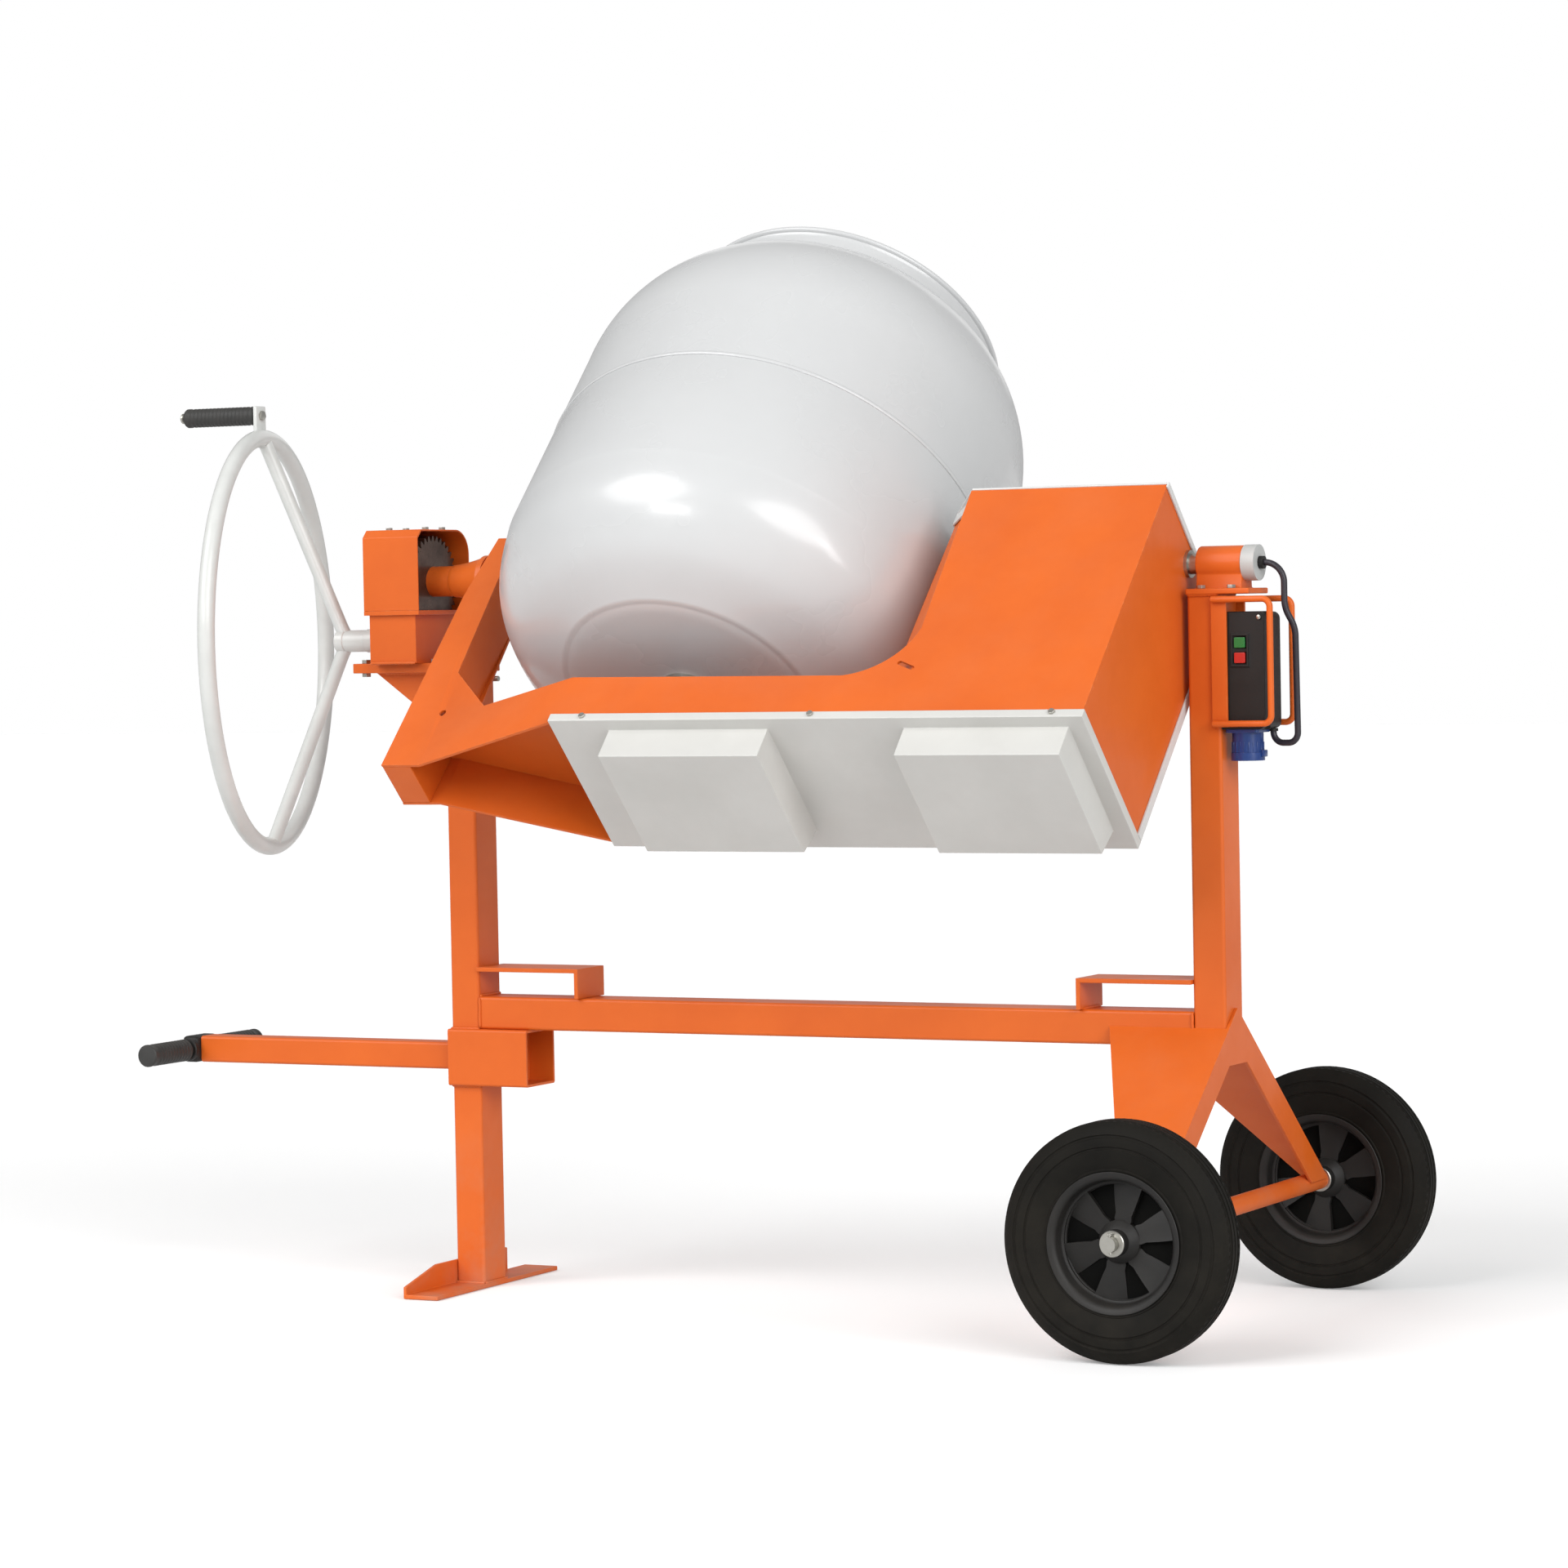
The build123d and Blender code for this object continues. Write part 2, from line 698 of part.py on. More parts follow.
def build_handwheel():
    """Ring, two spokes to the hub, and the crank pin's bracket, welded up as one piece."""
    twist = radians(ring_twist)
    normal = Vector(cos(twist), sin(twist), 0)
    centre = Vector(handwheel_x, 0, pinion_z)
    hub_r = 22.0
    with BuildPart() as handwheel:
        across_ring = Vector(-sin(twist), cos(twist), 0)
        start = Plane(origin=centre + across_ring * handwheel_r, x_dir=normal, z_dir=(0, 0, 1))
        with BuildSketch(start):
            Circle(handwheel_tube_r)
        revolve(axis=Axis(centre, normal))
        with BuildSketch(section(handwheel_x - 13)):
            with Locations((0, pinion_z + handwheel_r + 30)):
                RectangleRounded(34, 62, 8)
        extrude(amount=8)
        with BuildSketch(section(handwheel_x - 13 - grip_len - 14)):
            with Locations((0, grip_z)):
                Circle(6)
        extrude(amount=grip_len + 16)
        with BuildSketch(section(handwheel_x - 13 - grip_len - 14)):
            with Locations((0, grip_z)):
                Circle(10)
        extrude(amount=8)
        with BuildSketch(section(hub_x - 20)):
            with Locations((0, pinion_z)):
                Circle(hub_r)
        extrude(amount=86)
        for sign in (-1, 1):
            low = Vector(hub_x - 6, 0, pinion_z + sign * 10)
            high = Vector(handwheel_x, 0, pinion_z + sign * handwheel_r)
            with BuildSketch(Plane(origin=low, z_dir=high - low)):
                Circle(13)
            extrude(amount=(high - low).length - 5)
        with BuildSketch(section(hub_x - 21)):
            with Locations((0, pinion_z)):
                Circle(pinion_shaft_r)
        extrude(amount=90, mode=Mode.SUBTRACT)
    write(handwheel.part, "handwheel")


grip_z = pinion_z + handwheel_r + 43


def build_handwheel_grip():
    right = handwheel_x - 13 - 2
    with BuildPart() as handwheel_grip:
        with BuildSketch(section(right - grip_len)):
            with Locations((0, grip_z)):
                Circle(grip_r)
                Circle(6 + run_fit, mode=Mode.SUBTRACT)
        extrude(amount=grip_len)
        edges = handwheel_grip.edges().filter_by(GeomType.CIRCLE).group_by(SortBy.RADIUS)[-1]
        fillet(edges, 4)
    write(handwheel_grip.part, "handwheel_grip")


# ---- bearing, switch and lead on the wheel post --------------------------------------------------
seat_t = 10.0
post_top_z = pivot_z - 53
seat_right = post_span + 86
bearing_left = post_left + 12
bearing_right = bearing_left + 83
bearing_r = cable_trunnion_r + 12
cap_len = 24.0


def build_right_bearing():
    with BuildPart() as right_bearing:
        with BuildSketch(Plane.XY.offset(post_top_z)):
            with Locations(((post_left + seat_right) / 2, 0)):
                Rectangle(seat_right - post_left, 92)
        extrude(amount=seat_t)
        with BuildSketch(section(bearing_left)):
            with Locations((0, pivot_z)):
                Circle(bearing_r)
            outline((-26, post_top_z + seat_t), (26, post_top_z + seat_t), (22, pivot_z), (-22, pivot_z))
            with Locations((0, pivot_z)):
                Circle(cable_trunnion_r + bush_t, mode=Mode.SUBTRACT)
        extrude(amount=bearing_right - bearing_left)
    write(right_bearing.part, "right_bearing")
    with BuildPart() as bearing_cap:
        with BuildSketch(section(bearing_right)):
            with Locations((0, pivot_z)):
                Circle(bearing_r + 1)
        extrude(amount=cap_len)
        with BuildSketch(section(bearing_right)):
            with Locations((0, pivot_z)):
                Circle(bearing_r - 4)
        extrude(amount=cap_len - 4, mode=Mode.SUBTRACT)
        with BuildSketch(section(bearing_right)):
            with Locations((0, pivot_z)):
                Circle(lead_r)
        extrude(amount=cap_len, mode=Mode.SUBTRACT)
    write(bearing_cap.part, "bearing_cap")


bracket_t = 6.0
bracket_left = post_right - 14
bracket_right = post_right + 14
switch_high = post_top_z - 31
switch_low = switch_high - switch_len
switch_right = post_right + switch_w
guard_r = 5.5
guard_low = switch_low + 10
guard_high = post_top_z - 9
guard_out = switch_right + 16


def build_switch_brackets():
    with BuildPart() as switch_brackets:
        for face in (-post_d / 2, post_d / 2 + bracket_t):
            with BuildSketch(elevation(face)):
                with Locations((post_right, (guard_low + guard_high) / 2)):
                    Rectangle(bracket_right - bracket_left, guard_high - guard_low + 12)
            extrude(amount=bracket_t)
    write(switch_brackets.part, "switch_brackets")


def build_switch_guards():
    """Two bent rods, one each side of the switch, that take a knock."""
    with BuildPart() as switch_guards:
        for sign in (-1, 1):
            y = sign * (post_d / 2 + bracket_t + guard_r)
            with BuildLine() as route:
                FilletPolyline(
                    (bracket_left + 4, y, guard_high),
                    (guard_out, y, guard_high),
                    (guard_out, y, guard_low),
                    (bracket_left + 4, y, guard_low),
                    radius=14,
                )
            with BuildSketch(Plane(origin=(bracket_left + 4, y, guard_high), z_dir=(1, 0, 0))):
                Circle(guard_r)
            sweep(path=route.line)
    write(switch_guards.part, "switch_guards")


switch_half = switch_depth / 2
button_x = post_right + 36
start_z = switch_high - 52
stop_z = start_z - 26
button_w = 20.0
button_h = 18.0
button_out = 4.0
button_travel = 3.0
gland_x = switch_right - 12
gland_y = 30.0
gland_len = 5.0


def build_switch_box():
    with BuildPart() as switch_box:
        with BuildSketch(elevation(switch_half)):
            with Locations(((post_right + switch_right) / 2, (switch_low + switch_high) / 2)):
                Rectangle(switch_right - post_right, switch_high - switch_low)
            fillet(vertices().group_by(Axis.X)[-1], 12)
        extrude(amount=switch_depth)
        for z in (start_z, stop_z):
            with BuildSketch(elevation(-switch_half + 14)):
                with Locations((button_x, z)):
                    Rectangle(button_w + 2 * gap, button_h + 2 * gap)
            extrude(amount=20, mode=Mode.SUBTRACT)
        with BuildSketch(elevation(-switch_half)):
            with Locations((button_x, (start_z + stop_z) / 2)):
                Rectangle(34, 58)
                Rectangle(button_w + 2 * gap + 4, 50, mode=Mode.SUBTRACT)
        extrude(amount=2)
    write(switch_box.part, "switch_box")


def build_buttons():
    for name, z in (("start_button", start_z), ("stop_button", stop_z)):
        with BuildPart() as button:
            with BuildSketch(elevation(-switch_half + 14 - button_travel - 1)):
                with Locations((button_x, z)):
                    RectangleRounded(button_w, button_h, 2)
            extrude(amount=14 - button_travel - 1 + button_out)
        write(button.part, name)


inlet_x = post_right + 35
inlet_r = 29.0


def build_power_inlet():
    with BuildPart() as power_inlet:
        with BuildSketch(Plane.XY.offset(switch_low - 6)):
            with Locations((inlet_x, -6)):
                RectangleRounded(60, 60, 6)
        extrude(amount=6)
        with BuildSketch(Plane.XY.offset(switch_low - 6)):
            with Locations((inlet_x, -6)):
                Circle(inlet_r - 2)
        extrude(amount=-48)
        with BuildSketch(Plane.XY.offset(switch_low - 40)):
            with Locations((inlet_x, -6)):
                Circle(inlet_r)
        extrude(amount=-14)
        with BuildSketch(Plane.XY.offset(switch_low - 54)):
            with Locations((inlet_x, -6)):
                Circle(inlet_r - 5)
        extrude(amount=40, mode=Mode.SUBTRACT)
        with BuildSketch(Plane.XY.offset(switch_low - 46)):
            with Locations((inlet_x, -6)):
                with PolarLocations(16, 3, start_angle=90):
                    Circle(2.5)
        extrude(amount=34)
    write(power_inlet.part, "power_inlet")


cap_face = bearing_right + cap_len
lead_out_x = cap_face + 44
lead_low = switch_low - 25
lead_route = [
    (cap_face, 0, pivot_z),
    (lead_out_x, 0, pivot_z),
    (lead_out_x, 0, pivot_z - 78),
    (lead_out_x + 16, 8, pivot_z - 112),
    (lead_out_x + 12, gland_y - 6, lead_low),
    (gland_x, gland_y, lead_low),
    (gland_x, gland_y, switch_low),
]
lead_bends = [35, 60, 60, 19, 19]


def build_motor_lead():
    with BuildPart() as motor_lead:
        with BuildLine() as route:
            FilletPolyline(*lead_route, radius=lead_bends)
        with BuildSketch(Plane(origin=lead_route[0], z_dir=(1, 0, 0))):
            Circle(lead_r)
        sweep(path=route.line)
    length = sum(edge.length for edge in route.edges())
    print("motor lead: length", round(length))
    print("motor lead: volume over section times length", motor_lead.part.volume / (pi * lead_r**2 * length))
    write(motor_lead.part, "motor_lead")
    with BuildPart() as lead_glands:
        with BuildSketch(section(cap_face)):
            with Locations((0, pivot_z)):
                Circle(11)
                Circle(lead_r, mode=Mode.SUBTRACT)
        extrude(amount=9)
        with BuildSketch(Plane.XY.offset(switch_low - gland_len)):
            with Locations((gland_x, gland_y)):
                Circle(8)
                Circle(lead_r, mode=Mode.SUBTRACT)
        extrude(amount=gland_len)
    write(lead_glands.part, "lead_glands")


# ---- tilting cradle ------------------------------------------------------------------------------
arm_foot_h = case_floor_h - sheet


def build_left_arm():
    """Tapered box between the two cradle plates, closed at both ends."""
    half = arm_half - sheet
    outside = [(arm_left, arm_foot_h), (arm_left, -90), (arm_left + 15, arm_top_h)]
    inside = [(arm_right - 6, arm_top_h), (arm_right, -90), (arm_right, arm_foot_h)]
    cavity = [
        (arm_left + sheet, arm_foot_h + sheet),
        (arm_left + sheet, -90),
        (arm_left + 15 + sheet, arm_top_h - sheet),
        (arm_right - 6 - sheet, arm_top_h - sheet),
        (arm_right - sheet, -90),
        (arm_right - sheet, arm_foot_h + sheet),
    ]
    with BuildPart() as left_arm:
        with BuildSketch(front(-half)):
            outline(*outside, *inside)
            Polygon(*cavity, align=None, mode=Mode.SUBTRACT)
        extrude(amount=-2 * half)
    write(left_arm.part, "left_arm")


def build_cradle_plate(sign, name):
    """One of the two pressed sides of the cradle: idle arm, flared strip and motor box in one sheet."""
    half = case_half
    flare_x = arm_right + 19
    with BuildPart() as plate:
        with BuildSketch(level(arm_foot_h)):
            outline(
                (arm_left, sign * arm_half),
                (flare_x, sign * arm_half),
                (case_left, sign * half),
                (case_right, sign * half),
                (case_right, sign * (half - sheet)),
                (case_left + 1, sign * (half - sheet)),
                (flare_x + 1, sign * (arm_half - sheet)),
                (arm_left, sign * (arm_half - sheet)),
            )
        extrude(amount=arm_top_h - arm_foot_h)
        with BuildSketch(front(-half - 20)):
            with BuildLine():
                Polyline(
                    (arm_left, arm_foot_h),
                    (arm_left, -90),
                    (arm_left + 15, arm_top_h),
                    (arm_right - 6, arm_top_h),
                    (arm_right + 9, case_top_h + 120),
                    (arm_right + 125, case_top_h + 2),
                    (wall_x - 57, case_top_h - 3),
                )
                ThreePointArc((wall_x - 57, case_top_h - 3), (wall_x + 15, case_top_h + 31), (wall_x + 57, case_top_h + 107))
                Polyline(
                    (wall_x + 57, case_top_h + 107),
                    (wall_x + 46, motor_box_top_h),
                    (case_right, motor_box_top_h),
                    (case_right, case_floor_h),
                    (case_left, case_floor_h),
                    (arm_right, arm_foot_h),
                    (arm_left, arm_foot_h),
                )
            make_face()
        extrude(amount=-2 * half - 40, mode=Mode.INTERSECT)
        with BuildSketch(front(-half - 20)):
            with Locations((wall_x + 56, case_top_h + 19)):
                SlotOverall(38, 9, rotation=-25)
            with Locations((arm_right + 18, case_top_h + 19)):
                Circle(7)
        extrude(amount=-2 * half - 40, mode=Mode.SUBTRACT)
    write(plate.part, name)


motor_seat_h = case_top_h + 15


def build_case_sheets():
    """Sheet that carries the drum bearing, and the one that carries the motor."""
    half = case_half - sheet
    with BuildPart() as case_sheets:
        with BuildSketch(level(case_top_h - sheet)):
            with Locations(((case_left + 3 + wall_x - 5) / 2, 0)):
                Rectangle(wall_x - 8 - case_left, 2 * half)
            with Locations((drum_x, 0)):
                Circle(56, mode=Mode.SUBTRACT)
        extrude(amount=sheet)
        with BuildSketch(level(motor_seat_h - 8)):
            with Locations((motor_x + 3, 0)):
                Rectangle(280, 2 * half)
            with Locations((motor_x, 0)):
                Circle(45, mode=Mode.SUBTRACT)
        extrude(amount=8)
    write(case_sheets.part, "case_sheets")


def build_motor_box_walls():
    half = case_half - sheet
    with BuildPart() as motor_box_walls:
        with BuildSketch(level(case_top_h)):
            outline(
                (wall_x + 67, -half),
                (wall_x, -95),
                (wall_x, 95),
                (wall_x + 67, half),
                (wall_x + 73, half),
                (wall_x + 5, 93),
                (wall_x + 5, -93),
                (wall_x + 73, -half),
            )
        extrude(amount=motor_box_top_h - case_top_h)
        with BuildSketch(level(case_floor_h)):
            with Locations((case_right - sheet / 2, 0)):
                Rectangle(sheet, 2 * half)
        extrude(amount=motor_box_top_h - case_floor_h)
        with BuildSketch(section(case_right - sheet)):
            with Locations((0, pivot_z)):
                Circle(cable_trunnion_r)
        extrude(amount=sheet, mode=Mode.SUBTRACT)
    write(motor_box_walls.part, "motor_box_walls")


raised_fields = ((case_left + 103, case_left + 410), (case_right - 328, case_right - 28))
lip = 13.0
top_lip = 7.0


def build_drive_cover():
    """Tray under the case, with two raised fields over the pulleys."""
    left = case_left - 8
    right = case_right + cover_t
    half = case_half + cover_t
    base = case_floor_h - cover_t
    deep = base - bulge
    with BuildPart() as drive_cover:
        with BuildSketch(level(base)):
            with Locations(((left + right) / 2, 0)):
                Rectangle(right - left, 2 * half)
        extrude(amount=cover_t + lip)
        with BuildSketch(level(case_floor_h)):
            with Locations(((left - 1 + case_right) / 2, 0)):
                Rectangle(case_right - left + 1, 2 * case_half)
        extrude(amount=lip, mode=Mode.SUBTRACT)
        for x0, x1 in raised_fields:
            with BuildSketch(side(x0)):
                outline((-137, base), (-135, deep), (108, deep), (118, base))
            extrude(amount=x1 - x0)
            with BuildSketch(side(x0 + cover_t)):
                outline((-133, case_floor_h), (-131, deep + cover_t), (104, deep + cover_t), (114, case_floor_h))
            extrude(amount=x1 - x0 - 2 * cover_t, mode=Mode.SUBTRACT)
    write(drive_cover.part, "drive_cover")


def build_motor_box_cover():
    """Lid of the motor box: top, back and a turned-down edge that follows the bevelled wall."""
    left = wall_x + 48
    right = case_right + cover_t
    low = case_floor_h + lip + 1
    half = case_half
    with BuildPart() as motor_box_cover:
        with BuildSketch(level(motor_box_top_h)):
            outline(
                (left, -half - 2),
                (wall_x - cover_t, -98),
                (wall_x - cover_t, 98),
                (left, half + cover_t),
                (right, half + cover_t),
                (right, -half - 2),
            )
        extrude(amount=cover_t)
        with BuildSketch(level(motor_box_top_h - 22)):
            outline(
                (wall_x + 46, -half + 16),
                (wall_x - cover_t, -98),
                (wall_x - cover_t, 98),
                (wall_x + 46, half - 16),
                (wall_x + 46, half - 21),
                (wall_x - gap, 96),
                (wall_x - gap, -96),
                (wall_x + 46, -half + 21),
            )
        extrude(amount=22)
        with BuildSketch(side(left)):
            outline(
                (half, motor_box_top_h),
                (half + cover_t, motor_box_top_h),
                (half + cover_t, low),
                (half, low),
            )
        extrude(amount=right - left)
        with BuildSketch(side(case_right)):
            outline(
                (-half - 2, motor_box_top_h),
                (half, motor_box_top_h),
                (half, low),
                (half - lip, low),
                (half - lip, motor_box_top_h - top_lip),
                (-half - 2, motor_box_top_h - top_lip),
            )
        extrude(amount=cover_t)
    write(motor_box_cover.part, "motor_box_cover")


def build_cover_screws():
    with BuildPart() as cover_screws:
        for x in (case_left + 57, (case_left + case_right) / 2, case_right - 53):
            for sign in (-1, 1):
                face = sign * (case_half + cover_t)
                plane = Plane(
                    origin=pivot + Vector(x, 0, 0) + across_dir * face + axis_dir * (case_floor_h + 6),
                    x_dir=(1, 0, 0),
                    z_dir=across_dir * sign,
                )
                with BuildSketch(plane):
                    RegularPolygon(6, 6)
                extrude(amount=4)
    write(cover_screws.part, "cover_screws")


def build_trunnions():
    left_end = bearing_plates[0] - 4
    with BuildPart() as left_trunnion:
        with BuildSketch(section(left_end)):
            with Locations((0, pivot_z)):
                Circle(trunnion_r)
        extrude(amount=arm_left - left_end)
        with BuildSketch(section(gear_right)):
            with Locations((0, pivot_z)):
                Circle(idle_trunnion_r)
        extrude(amount=arm_left - gear_right)
        with BuildSketch(section(arm_left - 10)):
            with Locations((0, pivot_z)):
                Circle(46)
        extrude(amount=10)
    write(left_trunnion.part, "left_trunnion")
    with BuildPart() as right_trunnion:
        with BuildSketch(section(case_right)):
            with Locations((0, pivot_z)):
                Circle(motor_box_top_h - top_lip - 2)
        extrude(amount=6)
        with BuildSketch(section(case_right)):
            with Locations((0, pivot_z)):
                Circle(cable_trunnion_r)
        extrude(amount=bearing_right - 5 - case_right)
        with BuildSketch(section(case_right)):
            with Locations((0, pivot_z)):
                Circle(8)
        extrude(amount=bearing_right - case_right, mode=Mode.SUBTRACT)
    write(right_trunnion.part, "right_trunnion")
    face = Plane(origin=(gear_right - gear_w, 0, pivot_z), x_dir=(0, 1, 0), z_dir=(1, 0, 0))
    write(gear(face, tilt_module, tilt_teeth, 0, trunnion_r, gear_w), "tilt_gear")


def build_motor():
    """Drive motor with cooling ribs, standing on its sheet in the motor box."""
    foot = motor_seat_h
    top = foot + 272
    base = Plane(origin=pivot + Vector(motor_x, 0, 0) + axis_dir * foot, x_dir=(1, 0, 0), z_dir=axis_dir)
    with BuildPart() as motor:
        with BuildSketch(base):
            Circle(80)
            Circle(motor_shaft_r + run_fit, mode=Mode.SUBTRACT)
        extrude(amount=14)
        with BuildSketch(base.offset(14)):
            Circle(74)
            with PolarLocations(78, 18):
                Rectangle(12, 5)
        extrude(amount=top - foot - 54)
        with BuildSketch(base.offset(top - foot - 40)):
            Circle(82)
        extrude(amount=40)
        with BuildSketch(base.offset(60)):
            with Locations((104, 0)):
                Rectangle(64, 80)
        extrude(amount=90)
    write(motor.part, "motor")


belt_h = case_floor_h + 10


def build_belt():
    inner_big = big_pulley_r - belt_t
    inner_small = small_pulley_r - belt_t
    span = motor_x - layshaft_x
    plane = Plane(origin=pivot + Vector(layshaft_x, 0, 0) + axis_dir * belt_h, x_dir=(1, 0, 0), z_dir=axis_dir)
    with BuildPart() as drive_belt:
        with BuildSketch(plane):
            Circle(big_pulley_r)
            with Locations((span, 0)):
                Circle(small_pulley_r)
            make_hull()
            with BuildSketch(mode=Mode.SUBTRACT):
                Circle(inner_big)
                with Locations((span, 0)):
                    Circle(inner_small)
                make_hull()
        extrude(amount=belt_w)
    write(drive_belt.part, "drive_belt")


def build_pulley(x, radius, bore):
    """Grooved pulley round the belt, from below it to above it."""
    groove = radius - belt_t - gap
    rim = radius + 2
    low = belt_h - 4
    high = belt_h + belt_w + 4
    with BuildPart() as pulley:
        with BuildSketch(turned(x, 0)):
            outline(
                (bore, low),
                (rim, low),
                (rim, belt_h - 1),
                (groove, belt_h - gap),
                (groove, belt_h + belt_w + gap),
                (rim, belt_h + belt_w + 1),
                (rim, high),
                (bore, high),
            )
        revolve(axis=spin_axis(x))
    return pulley.part


def build_layshaft():
    write(build_pulley(layshaft_x, big_pulley_r, layshaft_r), "large_pulley")
    low = belt_h - 6
    top = case_top_h - 16
    base = Plane(origin=pivot + Vector(layshaft_x, 0, 0) + axis_dir * low, x_dir=(1, 0, 0), z_dir=axis_dir)
    with BuildPart() as layshaft:
        with BuildSketch(base):
            Circle(layshaft_r)
        extrude(amount=top - low)
        with BuildSketch(base.offset(case_floor_h + 38 - low)):
            outline(*tooth_points(drum_module, drum_pinion_teeth, pi / drum_pinion_teeth))
        extrude(amount=28)
    write(layshaft.part, "layshaft")


def build_motor_pulley():
    with BuildPart() as motor_pulley:
        add(build_pulley(motor_x, small_pulley_r, motor_shaft_r - 1))
        base = Plane(
            origin=pivot + Vector(motor_x, 0, 0) + axis_dir * (belt_h - 6), x_dir=(1, 0, 0), z_dir=axis_dir
        )
        with BuildSketch(base):
            Circle(motor_shaft_r)
        extrude(amount=motor_seat_h + 12 - belt_h + 6)
    write(motor_pulley.part, "motor_pulley")


def build_case_bearings():
    """Bearing of the drum in its sheet, and the layshaft's bearing hung under the same sheet."""
    bore = drum_shaft_r + run_fit
    with BuildPart() as case_bearings:
        with BuildSketch(turned(drum_x, 0)):
            outline(
                (bore, case_top_h - 33),
                (56, case_top_h - 33),
                (56, case_top_h),
                (84, case_top_h),
                (84, case_top_h + 12),
                (62, case_top_h + 14),
                (54, case_top_h + 57),
                (bore, case_top_h + 57),
            )
        revolve(axis=spin_axis(drum_x))
        with BuildSketch(turned(layshaft_x, 0)):
            outline(
                (layshaft_r + run_fit, case_top_h - 33),
                (30, case_top_h - 33),
                (30, case_top_h - sheet),
                (layshaft_r + run_fit, case_top_h - sheet),
            )
        revolve(axis=spin_axis(layshaft_x))
    write(case_bearings.part, "case_bearings")


# ---- drum ------------------------------------------------------------------------------------------
floor_r = drum_r - 181


def build_drum():
    low_h = -106.0
    with BuildPart() as drum_lower:
        with BuildSketch(turned(drum_x, 0)):
            with BuildLine():
                Polyline((0, drum_floor_h - 2), (floor_r - 3, drum_floor_h - 2), (floor_r, drum_floor_h))
                Spline(
                    (floor_r, drum_floor_h),
                    (floor_r + 96, -262),
                    (drum_r - 20, -190),
                    (drum_r, low_h),
                    tangents=((1, 0.05), (0, 1)),
                )
                Polyline((drum_r, low_h), (drum_r, drum_seam_h), (drum_inner_r, drum_seam_h), (drum_inner_r, low_h))
                Spline(
                    (drum_inner_r, low_h),
                    (drum_r - 24, -187),
                    (floor_r + 94, -258),
                    (floor_r, drum_floor_h + drum_wall),
                    tangents=((0, -1), (-1, -0.05)),
                )
                Polyline((floor_r, drum_floor_h + drum_wall), (0, drum_floor_h + drum_wall), (0, drum_floor_h - 2))
            make_face()
        revolve(axis=spin_axis(drum_x))
    write(drum_lower.part, "drum_lower")
    band_r = mouth_r + drum_wall
    shoulder_h = drum_shoulder_h + 0.56 * (drum_mouth_h - drum_shoulder_h)
    with BuildPart() as drum_upper:
        with BuildSketch(turned(drum_x, 0)):
            with BuildLine():
                Polyline(
                    (drum_inner_r, drum_seam_h),
                    (drum_r + 2, drum_seam_h),
                    (drum_r + 2, drum_seam_h + 5),
                    (drum_r, drum_seam_h + 8),
                    (drum_r, drum_shoulder_h),
                )
                ThreePointArc((drum_r, drum_shoulder_h), (drum_r - 29, shoulder_h), (band_r, drum_mouth_h))
                Line((band_r, drum_mouth_h), (mouth_r, drum_mouth_h))
                ThreePointArc((mouth_r, drum_mouth_h), (drum_r - 33, shoulder_h - 2), (drum_inner_r, drum_shoulder_h))
                Line((drum_inner_r, drum_shoulder_h), (drum_inner_r, drum_seam_h))
            make_face()
        revolve(axis=spin_axis(drum_x))
    write(drum_upper.part, "drum_upper")
    with BuildPart() as mouth_rim:
        with BuildSketch(turned(drum_x, 0)):
            outline(
                (mouth_r, drum_mouth_h),
                (band_r + 4, drum_mouth_h),
                (band_r + 4, mouth_top_h - 12),
                (band_r + 9, mouth_top_h - 9),
                (band_r + 9, mouth_top_h),
                (mouth_r, mouth_top_h),
            )
        revolve(axis=spin_axis(drum_x))
    write(mouth_rim.part, "mouth_rim")


blade_low = -95.0
blade_high = 245.0
blade_w = 114.0


def build_mixing_blades():
    """Three paddles on the drum wall, each leaning out of the radial plane."""
    base = Plane(origin=pivot + Vector(drum_x, 0, 0), x_dir=(1, 0, 0), z_dir=axis_dir)
    reach = drum_inner_r - 0.5
    with BuildPart() as mixing_blades:
        with BuildSketch(base.offset(blade_low)):
            with PolarLocations(0, 3, start_angle=30):
                outline((reach, -4), (reach, 4), (reach - blade_w, 54), (reach - blade_w - 4, 48))
        extrude(amount=blade_high - blade_low)
        with BuildSketch(turned(drum_x, 0)):
            outline(
                (0, blade_low),
                (reach - blade_w + 5, blade_low),
                (reach - blade_w + 5, blade_high - 60),
                (reach - blade_w + 60, blade_high),
                (reach + 5, blade_high),
                (reach + 5, blade_high + 5),
                (0, blade_high + 5),
            )
        revolve(axis=spin_axis(drum_x), mode=Mode.SUBTRACT)
    write(mixing_blades.part, "mixing_blades")


def build_drum_shaft():
    with BuildPart() as drum_shaft:
        with BuildSketch(turned(drum_x, 0)):
            top = drum_floor_h - 2
            low = case_floor_h + 34
            outline((0, top), (60, top), (60, top - 8), (drum_shaft_r, top - 20), (drum_shaft_r, low), (0, low))
        revolve(axis=spin_axis(drum_x))
    write(drum_shaft.part, "drum_shaft")
    base = drum_plane.offset(case_floor_h + 39)
    write(gear(base, drum_module, drum_teeth, 0, drum_shaft_r, 25), "drum_gear")


